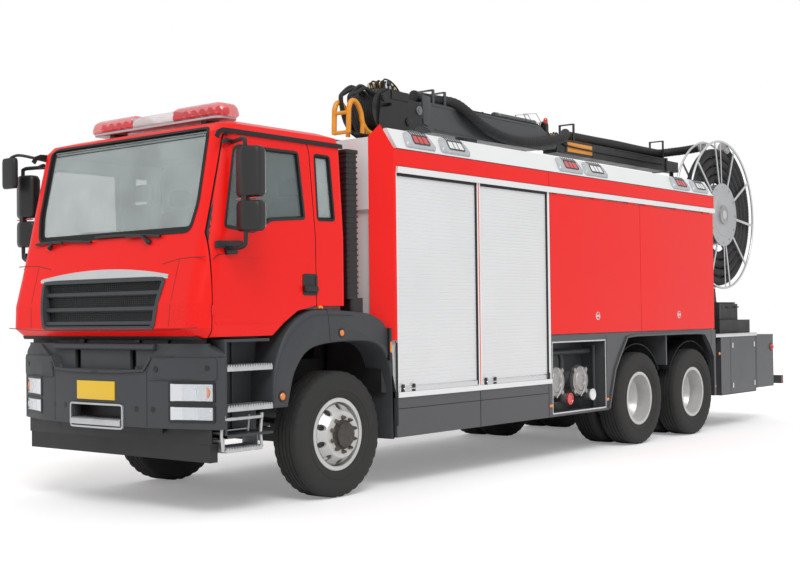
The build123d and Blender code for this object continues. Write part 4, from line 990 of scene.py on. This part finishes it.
steps = Form()
for level in (1160, 850):
    steps.box((1196, 1231), (-1356, -868), (level - 32, level + 2))
    for step in range(18):
        d = -1340 + step * 27
        steps.prism([(d - 10, level), (d + 10, level), (d + 5, level + 17), (d - 5, level + 17)],
                    "x", 1060, 1231)
steps.box((1000, 1230), (-1372, -988), (508, 532))
for step in range(13):
    d = -1355 + step * 29
    steps.prism([(d - 10, 530), (d + 10, 530), (d, 546)], "x", 1010, 1228)
steps.tube(smooth_path([(1215, -1380, 792), (1215, -1380, 770), (1215, -1350, 762), (1215, -1010, 762),
                        (1215, -980, 770), (1215, -980, 792)], 4), 14, 8)
for d, out in ((-1388, -1400), (-970, -985)):
    for x in (1205, 1060):
        steps.tube([(x, d, 770), (x, out, 640), (x, out + 14, 520)], 13, 8)
for z in (600, 660):
    steps.tube([(1060, -1395, z), (1060, -980, z)], 8, 6)
    steps.tube([(1200, -1398, z), (1060, -1390, z)], 8, 6)
steps.both()
piece("step_treads", steps, "root", tread_metal, bevel=1.2)

ribs = Form()
for step in range(26):
    z = 1730 + step * 48
    ribs.prism(rounded([(954, 184), (1116, 184), (1116, 336), (954, 336)], 30), "z", z, z + 16)
ribs.prism(rounded([(950, 178), (1120, 178), (1120, 342), (950, 342)], 34), "z", 2960, 2994)
piece("snorkel_ribs", ribs, "root", black_plastic, bevel=3)


# Equipment body
shutter_bays = ((700, 1930), (1990, 3200))
shutter_low, shutter_top = 857, 2817
slat_pitch = 33
slats = Form()
for low, high in shutter_bays:
    profile = []
    z = shutter_low
    while z < shutter_top - 2:
        top = min(z + slat_pitch, shutter_top)
        for share, out in ((0.0, 1237.5), (0.08, 1239.2), (0.5, 1240.2), (0.92, 1239.2), (0.99, 1237.5)):
            profile.append((out, z + (top - z) * share))
        z = top
    profile += [(1223, shutter_top), (1223, shutter_low + 0.4)]
    slats.rows([[(x, d, z) for x, z in profile] for d in (low + 1, high - 1)], True, True)
slats.both()
piece("shutter_slats", slats, "root", shutter_metal, smooth=25,
      replaces="roller_shutters")

edges = Form()
for low, high in shutter_bays:
    edges.box((1238, 1252), (low, high), (2792, 2818))
    edges.box((1238, 1252), (high - 22, high), (870, 2818))
edges.box((1248, 1252), (660, 689), (560, 1300))
edges.both()
piece("shutter_seals", edges, "root", seal_rubber, bevel=2)

bars = Form()
for low, high in shutter_bays:
    bars.prism([(1226, 858), (1251, 858), (1251, 905), (1245, 912), (1226, 912)], "d", low + 4, high - 24)
    bars.tube([(1256, low + 60, 884), (1262, low + 64, 884), (1262, low + 226, 884), (1256, low + 230, 884)],
              7, 8)
bars.both()
piece("shutter_bars", bars, "root", trim_metal, bevel=1.5)
latches = Form()
for low in (700, 1990):
    latches.box((1250, 1262), (low + 34, low + 70), (858, 925))
    latches.box((1250, 1262), (low + 190, low + 226), (858, 925))
latches.box((1250, 1262), (3170, 3205), (858, 925))
latches.both()
piece("shutter_latches", latches, "root", black_plastic, bevel=3)
post_line = Form()
post_line.box((1246, 1251.5), (1954.5, 1965.5), (858, 2817))
post_line.both()
piece("post_line", post_line, "root", red_paint)
lines = Form()
lines.box((1247, 1251), (3241, 3245), (2818, 3036))
lines.box((1240, 1251.2), (700, 7248), (3034, 3041))
lines.both()
piece("strip_lines", lines, "root", seal_rubber)


def hatch_form():
    """Oval pull latches and lower lip of a hatch, about the hatch's middle."""
    form = Form()
    for tone, profile in ((0, [(0, 46), (5, 45), (8, 40), (8, 36), (3, 32)]),
                          (1, [(2.5, 33), (2, 30), (-1, 8)])):
        form.tone = tone
        form.turned(profile, (1250, -20, 1510), outward, 30)
    form.tone = 0
    form.prism(rounded([(-58, 1498), (18, 1498), (18, 1522), (-58, 1522)], 11), "x", 1252, 1259)
    return form


for side_name, side in sides.items():
    for place, (low, high) in {"front": (3255, 5230), "rear": (5238, 7213)}.items():
        form = hatch_form()
        form.points = [(x, d + (low + high) / 2, z) for x, d, z in form.points]
        form.tone = 2
        form.box((1248, 1251), (low + 6, high - 6), (1319, 1324))
        form.flip(side)
        piece(f"latch_{place}_{side_name}", form, f"hatch_{place}_{side_name}",
              [chrome, black_plastic, seal_rubber])


coaming_low, coaming_high = 3038, 3235
coaming_lean = 121


def roof_lamp(form, low, high, red):
    """Louvred lamp set into the white roof edge; faces along the coaming's slope."""
    def onto(point, height):
        share = (point[1] - coaming_low) / (coaming_high - coaming_low)
        x = skirt_x - coaming_lean * share
        return (x + height * 0.85, point[0], point[1] + height * 0.5)
    form.tone = 0
    rows = []
    for inset, rise in ((-8, -6), (-4, 14), (8, 34), (26, 40)):
        slope, top = 62 + inset * 0.6, 3212 - inset * 0.5
        case = [(low + inset, 3070 + inset), (high - inset, 3070 + inset), (high - slope, top),
                (low + slope, top)]
        rows.append([onto(p, rise) for p in rounded(case, 30, 3)])
    form.rows(rows, True, True)
    form.tone = 1
    middle = (low + high) / 2
    width = (high - low) * 0.26
    for step in range(7):
        d = middle - width + step * width / 3
        strip(form, [(d + 16, 3168), (d - 14, 3206)], onto, 9, 43, sink=-30)
    outline = rounded([(middle - width, 3094), (middle + width, 3094), (middle + width - 12, 3166),
                       (middle - width + 12, 3166)], 14, 3)
    band(form, outline, onto, 10, 0, 46, sink=-30)
    for share in (0.36, 0.64):
        d = middle - width + 2 * width * share
        strip(form, [(d, 3096), (d, 3164)], onto, 6, 46, sink=-30)
    form.tone = 2 if red else 3
    sheet_on(form, outline, onto, 43, sink=-30)


roof_lamps = Form()
for low, high, red in ((867, 1310, True), (1400, 1860, False), (3485, 3982, True), (4032, 4525, False),
                       (6138, 6599, True), (6688, 7128, False)):
    roof_lamp(roof_lamps, low, high, red)
roof_lamps.both()
piece("roof_lamps", roof_lamps, "root", [lamp_housing, dark_grey, red_lens, white_paint], smooth=50)

skirt_lines = Form()
for d in (1960, 3196):
    skirt_lines.box((1244, 1247.5), (d - 4, d + 4), (462, 800))
skirt_lines.box((1244, 1247.5), (676, 3196), (706, 712))
for d in (4410, 7120):
    skirt_lines.box((1244, 1247), (d, d + 4), (480, 1300))
skirt_lines.both()
piece("skirt_seams", skirt_lines, "root", seal_rubber)

arch_lip = Form()
arch = [(4440, 470), (4589, 901), (4700, 1050), (4879, 1262), (5100, 1276), (6700, 1276), (6906, 1262),
        (7060, 1120), (7170, 958), (7176, 470)]
strip(arch_lip, arch, body_skin(skirt_x), 26, 20)
arch_lip.both()
piece("arch_lip", arch_lip, "root", panel_grey, bevel=4)
mud = Form()
for axle_d in bogie_axles.values():
    angles = [pi * (0.16 + 0.68 * k / 16) for k in range(17)]
    outer, inner = ([(axle_d + reach * cos(a), axle_z + reach * sin(a)) for a in angles]
                    for reach in (640, 634))
    mud.rows([[(640, *a), (1180, *a), (1180, *b), (640, *b)] for a, b in zip(outer, inner)], True, True)
mud.both()
piece("bogie_mudguards", mud, "root", black_plastic, smooth=50)


def spoke(d, z, c, s, corners):
    """Outline of a flat bar that points out from a centre; corners are (reach, half width)."""
    return ([(d + reach * c - half * s, z + reach * s + half * c) for reach, half in corners]
            + [(d + reach * c + half * s, z + reach * s - half * c) for reach, half in corners[::-1]])


outlets = Form()
for d, z in ((3456, 812), (3951, 805)):
    centre = (0, d, z)
    outlets.tone = 0
    outlets.turned([(1150, 150), (1156, 156), (1180, 156), (1186, 148), (1188, 120), (1200, 112), (1206, 96),
                    (1206, 60), (1196, 50), (1196, 10)], centre, outward, 36)
    for c, s in circle(4, 0.5):
        outlets.prism(spoke(d, z, c, s, ((150, 26), (186, 18))), "x", 1150, 1184)
    outlets.tone = 1
    outlets.tube(smooth_path([(1190, d, z + 150), (1205, d + 60, z + 60), (1214, d + 40, z - 60),
                              (1200, d - 30, z - 170)], 6), 5, 6)
    outlets.tone = 2
    outlets.turned([(1130, 168), (1146, 172), (1152, 160)], centre, outward, 36)
for d, z, tone in ((3700, 620, 3), (4180, 640, 4)):
    outlets.tone = tone
    outlets.turned([(1188, 62), (1202, 64), (1204, 56), (1196, 50), (1196, 8)], (0, d, z), outward, 26)
outlets.tone = 2
for d in (3330, 4320):
    outlets.tube([(1130, d, 500), (1130, d, 1180)], 18, 8)
outlets.tube([(1060, 3300, 1120), (1060, 4340, 1120)], 32, 12)
outlets.tube(smooth_path([(1060, 3700, 1120), (1090, 3700, 1000), (1060, 3700, 680)], 5), 26, 10)
outlets.both()
piece("outlet_fittings", outlets, "root", [coupling_metal, chrome, dark_grey, red_lens, white_paint])
bay = Form()
band(bay, [(3272, 492), (4378, 492), (4378, 1234), (3272, 1234)], body_skin(skirt_x), 14, 4, 4)
bay.both()
piece("bay_frame", bay, "root", trim_metal, bevel=1.5)
side_marks = Form()
for d in (3230, 4420, 7200):
    side_marks.box((1246, 1254), (d - 30, d + 30), (560, 590))
side_marks.both()
piece("side_markers", side_marks, "root", amber_lens, bevel=3)

corner = Form()
corner.box((1222, 1254), (572, 606), (1147, 1433))
corner.both()
piece("corner_lamp_base", corner, "root", black_plastic, bevel=6)
corner_lens = Form()
corner_lens.box((1226, 1258), (577, 601), (1215, 1312))
corner_lens.both()
piece("corner_lamp_lens", corner_lens, "root", amber_lens, bevel=6)


# Rear lockers and guard
rear_details = Form()
for d in (7412, 7716, 8530):
    rear_details.box((1238, 1241.5), (d - 3, d + 3), (446, 1206))
rear_details.box((1238, 1241.5), (7412, 8530), (446, 451))
rear_details.box((1176, 1181.5), (8700, 8706), (480, 1205))
rear_details.tone = 1
for d in (7770, 8470):
    for z in (560, 1090):
        rear_details.box((1238, 1252), (d - 16, d + 16), (z - 34, z + 34))
rear_details.tone = 2
rear_details.box((1176, 1186), (8556, 8600), (480, 1208))
rear_details.tone = 3
rear_details.turned([(0, 56), (8, 54), (10, 46)], (1178, 9215, 1030), outward, 24)
rear_details.tone = 4
rear_details.ball((1172, 9215, 1030), 46, outward, 0.42, 20, 6)
for z in (540, 575):
    rear_details.box((1199, 1204), (9530, 9580), (z - 8, z + 8))
rear_details.tone = 5
rear_details.box((1236, 1247), (7350, 7388), (975, 1010))
rear_details.tone = 1
rear_details.prism([(1244, 1205), (1250, 1205), (1250, 1248), (1244, 1248)], "d", 7258, 8560)
rear_details.both()
piece("rear_details", rear_details, "root",
      [seal_rubber, trim_metal, orange_paint, black_plastic, red_lens, amber_lens], bevel=1.5)
tail = Form()
for side in (-1, 1):
    tail.tone = 0
    tail.box((side * 860, side * 1160), (9286, 9296), (640, 780))
    for step, tone in enumerate((1, 1, 2, 3)):
        tail.tone = tone
        low = side * (872 + step * 72)
        tail.box((low, low + side * 64), (9292, 9302), (655, 765))
tail.tone = 4
tail.box((-260, 260), (9286, 9298), (820, 940))
piece("tail_lamps", tail, "root", [black_plastic, red_lens, amber_lens, lamp_reflector, white_paint], bevel=3)
deck = Form()
for step in range(26):
    for column in range(14):
        d = 7290 + column * 92
        x = -1150 + step * 92
        deck.prism([(x - 22, d - 4), (x + 18, d - 8), (x + 22, d + 4), (x - 18, d + 8)], "z", 1244, 1247)
piece("deck_pattern", deck, "root", tread_metal)

ladder = Form()
for x in (-1120, -820):
    ladder.tube(smooth_path([(x, 7262, 3180), (x, 7300, 3190), (x, 7320, 3140), (x, 7320, 1400),
                             (x, 7262, 1370)], 5), 18, 10)
for step in range(6):
    z = 1500 + step * 290
    ladder.tube([(-1120, 7320, z), (-820, 7320, z)], 15, 8)
piece("rear_ladder", ladder, "root", trim_metal)
back = Form()
for low, high in ((-780, -240), (-200, 400)):
    outline = rounded([(low, 1400), (high, 1400), (high, 2780), (low, 2780)], 30)
    back.rows([[(x, 7249 + out, z) for x, z in outline] for out in (-2, 9)], True, True)
piece("rear_doors", back, "root", red_paint, bevel=3)


# Hose reel
reel_d, reel_z = 8320, 2880
reel_parts = Form()
reel_parts.turned([(892, 60), (892, 436), (897, 436), (900, 430), (900, 300), (906, 294), (906, 200),
                   (900, 190)], (0, reel_d, reel_z), outward, 60)
for c, s in circle(12):
    reel_parts.turned([(896, 15), (908, 15), (909, 12)], (0, reel_d + 385 * c, reel_z + 385 * s), outward,
                      6)
reel_parts.tone = 1
reel_parts.turned([(900, 128), (912, 128), (914, 118), (919, 112), (919.5, 40)],
                  (0, reel_d, reel_z), outward, 40)
reel_parts.tone = 2
for angle in (pi / 2 + 0.05, 3 * pi / 2 + 0.05):
    reel_parts.prism(spoke(reel_d, reel_z, cos(angle), sin(angle), ((440, 13), (1000, 13))), "x", 888, 893)
piece("reel_hub", reel_parts, "reel", [hub_plate_grey, coupling_metal, reel_metal], smooth=40)


def spline_points(name, route):
    """Points of the smooth NURBS line over a route of millimetre points, in the frame's metres."""
    curve = bpy.data.curves.new(name, "CURVE")
    curve.dimensions = "3D"
    curve.resolution_u = 24
    spline = curve.splines.new("NURBS")
    spline.points.add(len(route) - 1)
    for control, point in zip(spline.points, route):
        control.co = (*at(*point), 1)
    spline.order_u = 3
    spline.use_endpoint_u = True
    guide = bpy.data.objects.new(name, curve)
    line = bpy.data.meshes.new_from_object(guide)
    found = [vertex.co.copy() for vertex in line.vertices]
    bpy.data.objects.remove(guide)
    bpy.data.meshes.remove(line)
    return found


def length_of(line):
    """Length of a line of points."""
    return sum((b - a).length for a, b in zip(line, line[1:]))


def evenly(line, spacing):
    """Points along a line at an even spacing."""
    total = length_of(line)
    count = max(2, round(total / spacing))
    found = []
    index, walked = 0, 0.0
    for step in range(count + 1):
        target = total * step / count
        while index < len(line) - 2 and walked + (line[index + 1] - line[index]).length < target:
            walked += (line[index + 1] - line[index]).length
            index += 1
        part = (line[index + 1] - line[index]).length
        found.append(line[index].lerp(line[index + 1], min(1, (target - walked) / part)))
    return found


def ribbed_hose(name, route, radius, pitch, sides_round):
    """Form of a suction hose with raised ribs along a route, and the hose's middle line."""
    line = spline_points(name, route)
    even = evenly(line, pitch / 4000)
    form = Form()
    points = [(p.x * 1000, p.y * 1000 - front_axle_y, p.z * 1000) for p in even]
    rib = (1.0, 0.985, 0.93, 0.985)
    radii = [radius * rib[index % 4] for index in range(len(points))]
    form.tube(points, radius, sides_round, radii=radii)
    return form, line


hose_radius = 60
boom_rest_z = 3815 + 14 + hose_radius + 0.3
jib_rest_z = 3718 + 14 + hose_radius + 0.3
hose_route = [(0, 2560, boom_rest_z), (0, 2960, boom_rest_z), (120, 3120, 3884), (200, 3280, 3770),
              (210, 3500, 3660), (214, 3900, 3568), (214, 4400, 3548), (204, 4900, 3620), (195, 5290, 3700),
              (110, 5470, 3800), (0, 5630, jib_rest_z), (0, 5780, jib_rest_z), (25, 6250, 3785),
              (55, 6850, 3784), (30, 7450, 3784), (0, 7950, jib_rest_z), (0, 8170, jib_rest_z),
              (120, 8310, 3820), (330, 8330, 3825), (630, 8330, 3850)]
hose_form, hose_line = ribbed_hose("crane_hose_line", hose_route, hose_radius, 45, 20)
crane_hose = piece("crane_hose", hose_form, None, hose_rubber, smooth=60,
                   replaces=("boom_hose", "jib_hose"))

turns = 4.05
turn_steps = 16
first_radius, turn_pitch = 500, 121
coil_route = []
for step in range(round(turns * turn_steps) + 1):
    angle = 0.9 + 2 * pi * step / turn_steps
    radius = first_radius + turn_pitch * step / turn_steps
    coil_route.append((795, reel_d + radius * cos(angle), reel_z + radius * sin(angle)))
coil_form, coil_line = ribbed_hose("coil_line", coil_route, hose_radius, 45, 16)
wound_hose = piece("wound_hose", coil_form, "reel", hose_rubber, smooth=60,
                   replaces="hose_coil")
end_point = coil_route[-1]
end_way = Vector(end_point) - Vector(coil_route[-2])
coupling = Form()
coupling.turned([(-70, 61), (-66, 66), (-20, 66), (-16, 61), (0, 61), (6, 74), (40, 74), (46, 66), (60, 66),
                 (62, 50)], end_point, end_way, 28)
hose_coupling = piece("hose_coupling", coupling, "reel", coupling_metal)
tuple(coil_line[0])
round(length_of(coil_line), 2)
[tuple(p) for p in coil_line]
tuple(hose_line[0])
round(length_of(hose_line), 2)
[tuple(p) for p in hose_line]

collars = Form()
collars.turned([(-20, 40), (-16, 66), (30, 66), (36, 64), (70, 64), (72, 61)], (0, 2560, boom_rest_z),
               (0, 1, 0), 28)
piece("hose_collar_boom", collars, "boom", crane_black)
swivel = Form()
swivel.turned([(-70, 64), (-66, 78), (-8, 78), (-4, 70), (4, 60)], (630, 8330, 3850), (1, 0, 0.06), 28)
piece("hose_collar_jib", swivel, "jib", coupling_metal)

stand_parts = Form()
stand_parts.box((612, 1040), (7820, 7880), (1420, 1650))
stand_parts.box((660, 980), (7930, 8470), (1646, 1668))
for d in (7960, 8200, 8440):
    stand_parts.tube([(1001, d - 60, 1600), (1016, d - 60, 1600), (1016, d + 60, 1600),
                      (1001, d + 60, 1600)], 9, 8)
stand_parts.turned([(0, 120), (50, 120), (56, 100), (120, 100), (126, 60)], (488, reel_d, reel_z - 330),
                   (-1, 0, 0), 30)
for d in (7940, 8720):
    stand_parts.box((500, 620), (d - 50, d + 50), (1245, 1262))
piece("reel_stand_parts", stand_parts, "root", chassis_black, bevel=5)


# Crane
def on_column(centre):
    """Tells the column's own faces from the plain cage, levers and valve block in the solid."""
    cage_face = centre.y < 1430 and centre.z > 3345
    lever = abs(centre.x) > 205 and centre.y < 1850 and centre.z > 3345
    valves = abs(centre.x) < 107 and 1963 < centre.y < 2152 and centre.z > 3852
    return not (cage_face or lever or valves)


piece("crane_column_skin", form_of("crane_column", on_column), "crane_column", crane_black, smooth=40,
      replaces="crane_column")
cage = Form()
for x in (-40, 150):
    cage.tube(smooth_path([(x, 1312, 3352), (x, 1318, 3520), (x, 1326, 3610), (x, 1366, 3676),
                           (x, 1440, 3664), (x, 1500, 3580), (x, 1530, 3470), (x, 1600, 3400),
                           (x, 1700, 3372)], 6), 26, 8)
    cage.tube([(x, 1530, 3480), (x, 1520, 3350)], 24, 8)
for d, z in ((1320, 3560), (1312, 3362), (1690, 3376)):
    cage.tube([(-40, d, z), (150, d, z)], 20, 8)
piece("crane_cage", cage, "crane_column", orange_paint, smooth=60)

power = Form()
for x in (-158, 150):
    power.turned([(0, 120), (8, 232), (8, 215), (2, 205), (8, 60)], (x, 1900, 3640),
                 (1 if x > 0 else -1, 0, 0), 40)
for step in range(9):
    power.turned([(0, 236), (6, 238), (12, 236)], (-130 + step * 30, 1900, 3640), outward, 40, False)
power.box((-180, 180), (1960, 2240), (3770, 3858))
for row in range(3):
    for column in range(6):
        x = -88 + column * 34
        d = 1985 + row * 66
        top = 3925 + 14 * ((row * 5 + column * 3) % 4)
        power.tone = 1 + (row + column) % 3
        power.turned([(0, 15), (30, 15), (32, 12), (top - 3882, 12), (top - 3880, 7)],
                     (x, d, 3880), (0, 0, 1), 8)
for index in range(9):
    x = -96 + index * 24
    power.tone = 2 if index % 3 == 0 else 0
    lift = 3944 + 10 * (index % 3)
    power.tube(smooth_path([(x, 1950, 3860), (x * 1.1, 1920, lift),
                            (x * 1.15, 2010, lift + 4 - 20 * (index % 2)), (x, 2130, lift - 40),
                            (x * 0.9, 2230, 3850), (x * 0.8, 2330, 3790)], 5), 9, 8)
power.tone = 4
for x in (-60, 0, 60):
    power.box((x - 18, x + 18), (2010, 2080), (3900, 3972))
power.tone = 0
for d, z, radius in ((1840, 3760, 34), (2240, 3560, 46), (2300, 3420, 40)):
    for x in (-176, 176):
        power.turned([(0, radius), (8, radius), (10, radius * 0.8), (16, radius * 0.5)], (x, d, z),
                     (1 if x > 0 else -1, 0, 0), 20)
piece("crane_valves", power, "crane_column", [crane_black, coupling_metal, brass, chrome, crane_grey],
      smooth=45)
loops = Form()
for x, high, reach in ((-60, 3872, 1480), (0, 3850, 1440), (60, 3866, 1500), (120, 3836, 1460)):
    loops.tube(smooth_path([(x, 1780, 3790), (x, 1700, high - 20), (x, 1600, high), (x, reach, high - 70),
                            (x * 0.8, reach - 60, 3720), (x * 0.7, reach, 3500), (x * 0.6, 1620, 3380),
                            (x * 0.5, 1800, 3350)], 6), 19, 8)
for x in (-110, 110):
    loops.tube(smooth_path([(x, 1700, 3400), (x, 1860, 3350), (x, 2050, 3345), (x, 2200, 3345)], 5), 16, 8)
piece("crane_loops", loops, "crane_column", hose_rubber, smooth=60)

pins = Form()
for x, direction in ((172, 1), (-172, -1)):
    pins.turned([(0, 48), (10, 48), (14, 42), (14, 30), (22, 28), (24, 20)], (x, 2420, 3700),
                (direction, 0, 0), 28)
for d, z in ((2080, 3410), (2120, 3450)):
    pins.tube(smooth_path([(196, d, z - 40), (200, d + 40, z), (200, d + 260, z), (192, d + 330, z - 50)],
                          5), 14, 8)
piece("column_pins", pins, "crane_column", pin_steel, smooth=50)

arm = Form()
for side in (-1, 1):
    arm.prism([(2527, 3894), (2667, 3880), (2660, 3600), (2620, 3564), (2540, 3580)], "x",
              side * 125.5, side * 139)
    for low, high, z in ((2720, 4780, 3800), (2760, 4800, 3540)):
        arm.box((side * 125, side * 131), (low, high), (z - 9, z + 9))
    arm.turned([(0, 60), (10, 60), (14, 50), (24, 28)], (side * 125, 5150, 3650), (side, 0, 0), 26)
arm.box((-60, 60), (3000, 4760), (3812, 3832))
arm.tone = 1
for x in (-88, -66, 66, 88):
    arm.tube(smooth_path([(x, 2700, 3832), (x, 3300, 3836), (x, 4000, 3834), (x, 4800, 3832),
                          (x, 4960, 3800)], 4), 9, 8)
arm.tone = 2
for d in (3200, 3700, 4200, 4700):
    arm.box((-100, 100), (d - 14, d + 14), (3816, 3848))
arm.tone = 3
for d, z in ((4900, 3850), (4120, 3850)):
    arm.turned([(-10, 53), (10, 53)], (0, d, z), (0, 1, 0), 28)
piece("boom_fittings", arm, "boom", [crane_grey, hose_rubber, crane_black, coupling_metal], bevel=2,
      smooth=50)
frame_wire = Form()
for x in (60, -60):
    frame_wire.tube([(x, 4700, 3835), (x, 4600, 3935), (x, 4880, 3972), (x, 4985, 3880), (x, 4940, 3800)], 6,
                    6)
piece("hook_frame", frame_wire, "boom", trim_metal)
beacon = Form()
beacon.turned([(0, 34), (20, 34), (24, 28)], (90, 5040, 3842), (0, 0, 1), 20)
beacon.tone = 1
beacon.turned([(24, 29), (60, 29), (80, 24), (92, 12), (94, 2)], (90, 5040, 3842), (0, 0, 1), 20)
beacon.tone = 0
beacon.box((60, 120), (5000, 5060), (3740, 3842))
piece("crane_beacon", beacon, "boom", [crane_black, red_lens], smooth=50)

jib_parts = Form()
for side in (-1, 1):
    jib_parts.box((side * 100, side * 104), (5480, 6150), (3570, 3690))
jib_parts.box((-96, 96), (5480, 6150), (3718, 3722))
jib_parts.tone = 1
for side in (-1, 1):
    for d in (5500, 6160):
        jib_parts.box((side * 100, side * 106), (d - 24, d + 24), (3540, 3716))
    for low, high in ((5330, 5480), (6760, 8200)):
        jib_parts.box((side * 100, side * 106), (low, high), (3700, 3716))
        jib_parts.box((side * 100, side * 106), (low, high), (3538, 3556))
jib_parts.box((-112, 112), (8180, 8232), (3528, 3728))
jib_parts.tone = 2
for side in (-1, 1):
    jib_parts.tube(smooth_path([(side * 104, 5290, 3690), (side * 120, 5350, 3684), (side * 116, 5500, 3640),
                                (side * 112, 6000, 3628), (side * 112, 7000, 3628),
                                (side * 112, 8100, 3628)], 4), 11, 8)
for index in range(5):
    x = -80 + index * 40
    jib_parts.tube(smooth_path([(x, 5286, 3712), (x, 5300, 3780 + 8 * (index % 2)), (x, 5380, 3740),
                                (x * 0.8, 5430, 3722)], 5), 10, 8)
jib_parts.tone = 3
for x in (-60, -20, 20, 60):
    jib_parts.box((x - 15, x + 15), (5276, 5320), (3708, 3770))
piece("jib_fittings", jib_parts, "jib", [orange_paint, crane_black, hose_rubber, brass], bevel=2, smooth=50)
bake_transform(crane_hose)


# Cab interior
def pad(form, x, d, z, tilt=0.0):
    """Padded block with soft edges, leaning back by tilt about its lower front edge."""
    ring = rounded([(x[0], d[0]), (x[1], d[0]), (x[1], d[1]), (x[0], d[1])], 46, 5)
    middle = Vector(((x[0] + x[1]) / 2, (d[0] + d[1]) / 2))
    depth = z[1] - z[0]
    rows = []
    for share, size in ((0, 0.80), (0.05, 0.92), (0.16, 1.0), (0.5, 1.02), (0.84, 1.0), (0.95, 0.92),
                        (1, 0.80), (1.01, 0.4)):
        level = z[0] + depth * share
        row = []
        for point in ring:
            flat = middle + (Vector(point) - middle) * size
            row.append((flat.x, flat.y + (level - z[0]) * tilt, level))
        rows.append(row)
    form.rows(rows, True, True)


seat_places = ((-560, -860), (560, -860), (-720, -300), (0, -300), (720, -300))
seats = Form()
for x, d in seat_places:
    front = d - 320 if d < -500 else d - 240
    pad(seats, (x - 235, x + 235), (front, d + 60), (1895, 2012))
    pad(seats, (x - 225, x + 225), (d + 45, d + 150), (2010, 2560), tilt=0.16)
    pad(seats, (x - 120, x + 120), (d + 150, d + 215), (2590, 2740), tilt=0.08)
seat_piece = piece("seats", seats, "cab", seat_cloth, smooth=70, replaces="cab_interior")
inside = Form()
for x, d in seat_places:
    inside.box((x - 200, x + 200), (d - 220, d + 50), (1672, 1893))
inside.prism(rounded([(-1450, 1900), (-1450, 2060), (-1380, 2100), (-1230, 2110), (-1170, 1990),
                      (-1190, 1900)], 30), "x", -1080, 1080)
inside.prism([(-1430, 1432), (-1430, 1900), (-1200, 1900), (-1230, 1432)], "x", -150, 150)
inside.prism(rounded([(-1330, 2100), (-1300, 2170), (-1220, 2165), (-1190, 2080)], 20), "x", 330, 790)
inside.tone = 1
inside.tube([(560, -1240, 2030), (560, -1090, 2118)], 26, 12)
centre, tilt_up = Vector((560, -1085, 2125)), Vector((0, 0.5, 0.87)).normalized()
across, along = Vector((1, 0, 0)), tilt_up.cross(Vector((1, 0, 0)))
inside.tube([centre + across * 215 * c + along * 215 * s for c, s in circle(40)], 16, 10, closed=True)
for angle in (0.1, pi - 0.1, -pi / 2):
    inside.tube([centre, centre + across * 205 * cos(angle) + along * 205 * sin(angle)], 13, 8)
inside.turned([(-14, 50), (14, 46), (18, 30)], centre, tilt_up, 24)
piece("cab_fittings", inside, "cab", [cab_lining, black_plastic], bevel=4, smooth=50)


# Camera, lights and floor
def place_camera():
    """Camera where the photograph was taken from."""
    yaw, pitch, roll = radians(38.91), 0.0194, -0.0118
    photo_width, focal_length = 800, 1249.6
    ahead = Vector((-sin(yaw) * cos(pitch), cos(yaw) * cos(pitch), sin(pitch)))
    right = Vector((cos(yaw), sin(yaw), 0))
    up = right.cross(ahead)
    tilted_right = right * cos(roll) + up * sin(roll)
    tilted_up = up * cos(roll) - right * sin(roll)
    camera = bpy.data.objects.new("camera", bpy.data.cameras.new("camera"))
    camera.data.sensor_fit = "HORIZONTAL"
    camera.data.sensor_width = 36
    camera.data.lens = 36 * focal_length / photo_width
    camera.data.clip_end = 200
    axes = Matrix((tilted_right, tilted_up, -ahead)).transposed()
    camera.matrix_world = Matrix.Translation(at(8264, -7959, 1548)) @ axes.to_4x4()
    bpy.context.scene.collection.objects.link(camera)
    bpy.context.scene.camera = camera


def place_lights():
    """White surroundings and one wide soft lamp over the driver's side front."""
    world = bpy.data.worlds.new("world")
    bpy.context.scene.world = world
    world.use_nodes = True
    tree = world.node_tree
    background = tree.nodes["Background"]
    socket(background, "Color", (1, 1, 1, 1))
    paths = tree.nodes.new("ShaderNodeLightPath")
    seen = tree.nodes.new("ShaderNodeMath")
    seen.operation = "MAXIMUM"
    tree.links.new(paths.outputs["Is Camera Ray"], seen.inputs[0])
    tree.links.new(paths.outputs["Is Transmission Ray"], seen.inputs[1])
    strength = tree.nodes.new("ShaderNodeMapRange")
    socket(strength, "To Min", 0.72)
    socket(strength, "To Max", 1.0)
    tree.links.new(seen.outputs[0], strength.inputs["Value"])
    tree.links.new(strength.outputs["Result"], background.inputs["Strength"])
    sun = bpy.data.objects.new("sun", bpy.data.lights.new("sun", "SUN"))
    sun.data.energy = 1.3
    sun.data.angle = radians(25)
    sun.rotation_euler = Vector((-0.62, 0.55, -0.85)).to_track_quat("-Z", "Y").to_euler()
    bpy.context.scene.collection.objects.link(sun)


floor_glow = 0.22


def place_floor():
    """Pale floor that keeps the shadow and fades into the white surroundings."""
    mesh = bpy.data.meshes.new("floor")
    reach = 60
    mesh.from_pydata([(-reach, -reach, 0), (reach, -reach, 0), (reach, reach, 0), (-reach, reach, 0)], [],
                     [(0, 1, 2, 3)])
    floor = bpy.data.objects.new("floor", mesh)
    bpy.context.scene.collection.objects.link(floor)
    material, tree, shader = new_material("floor")
    socket(shader, "Base Color", (0.95, 0.95, 0.95, 1))
    socket(shader, "Roughness", 0.9)
    socket(shader, "Emission Color", (1, 1, 1, 1))
    paths = tree.nodes.new("ShaderNodeLightPath")
    glow = tree.nodes.new("ShaderNodeMath")
    glow.operation = "MULTIPLY"
    socket(glow, 1, floor_glow)
    tree.links.new(paths.outputs["Is Camera Ray"], glow.inputs[0])
    tree.links.new(glow.outputs[0], shader.inputs["Emission Strength"])
    mesh.materials.append(material)


place_camera()
place_lights()
place_floor()
bpy.context.scene.view_settings.view_transform = "Standard"
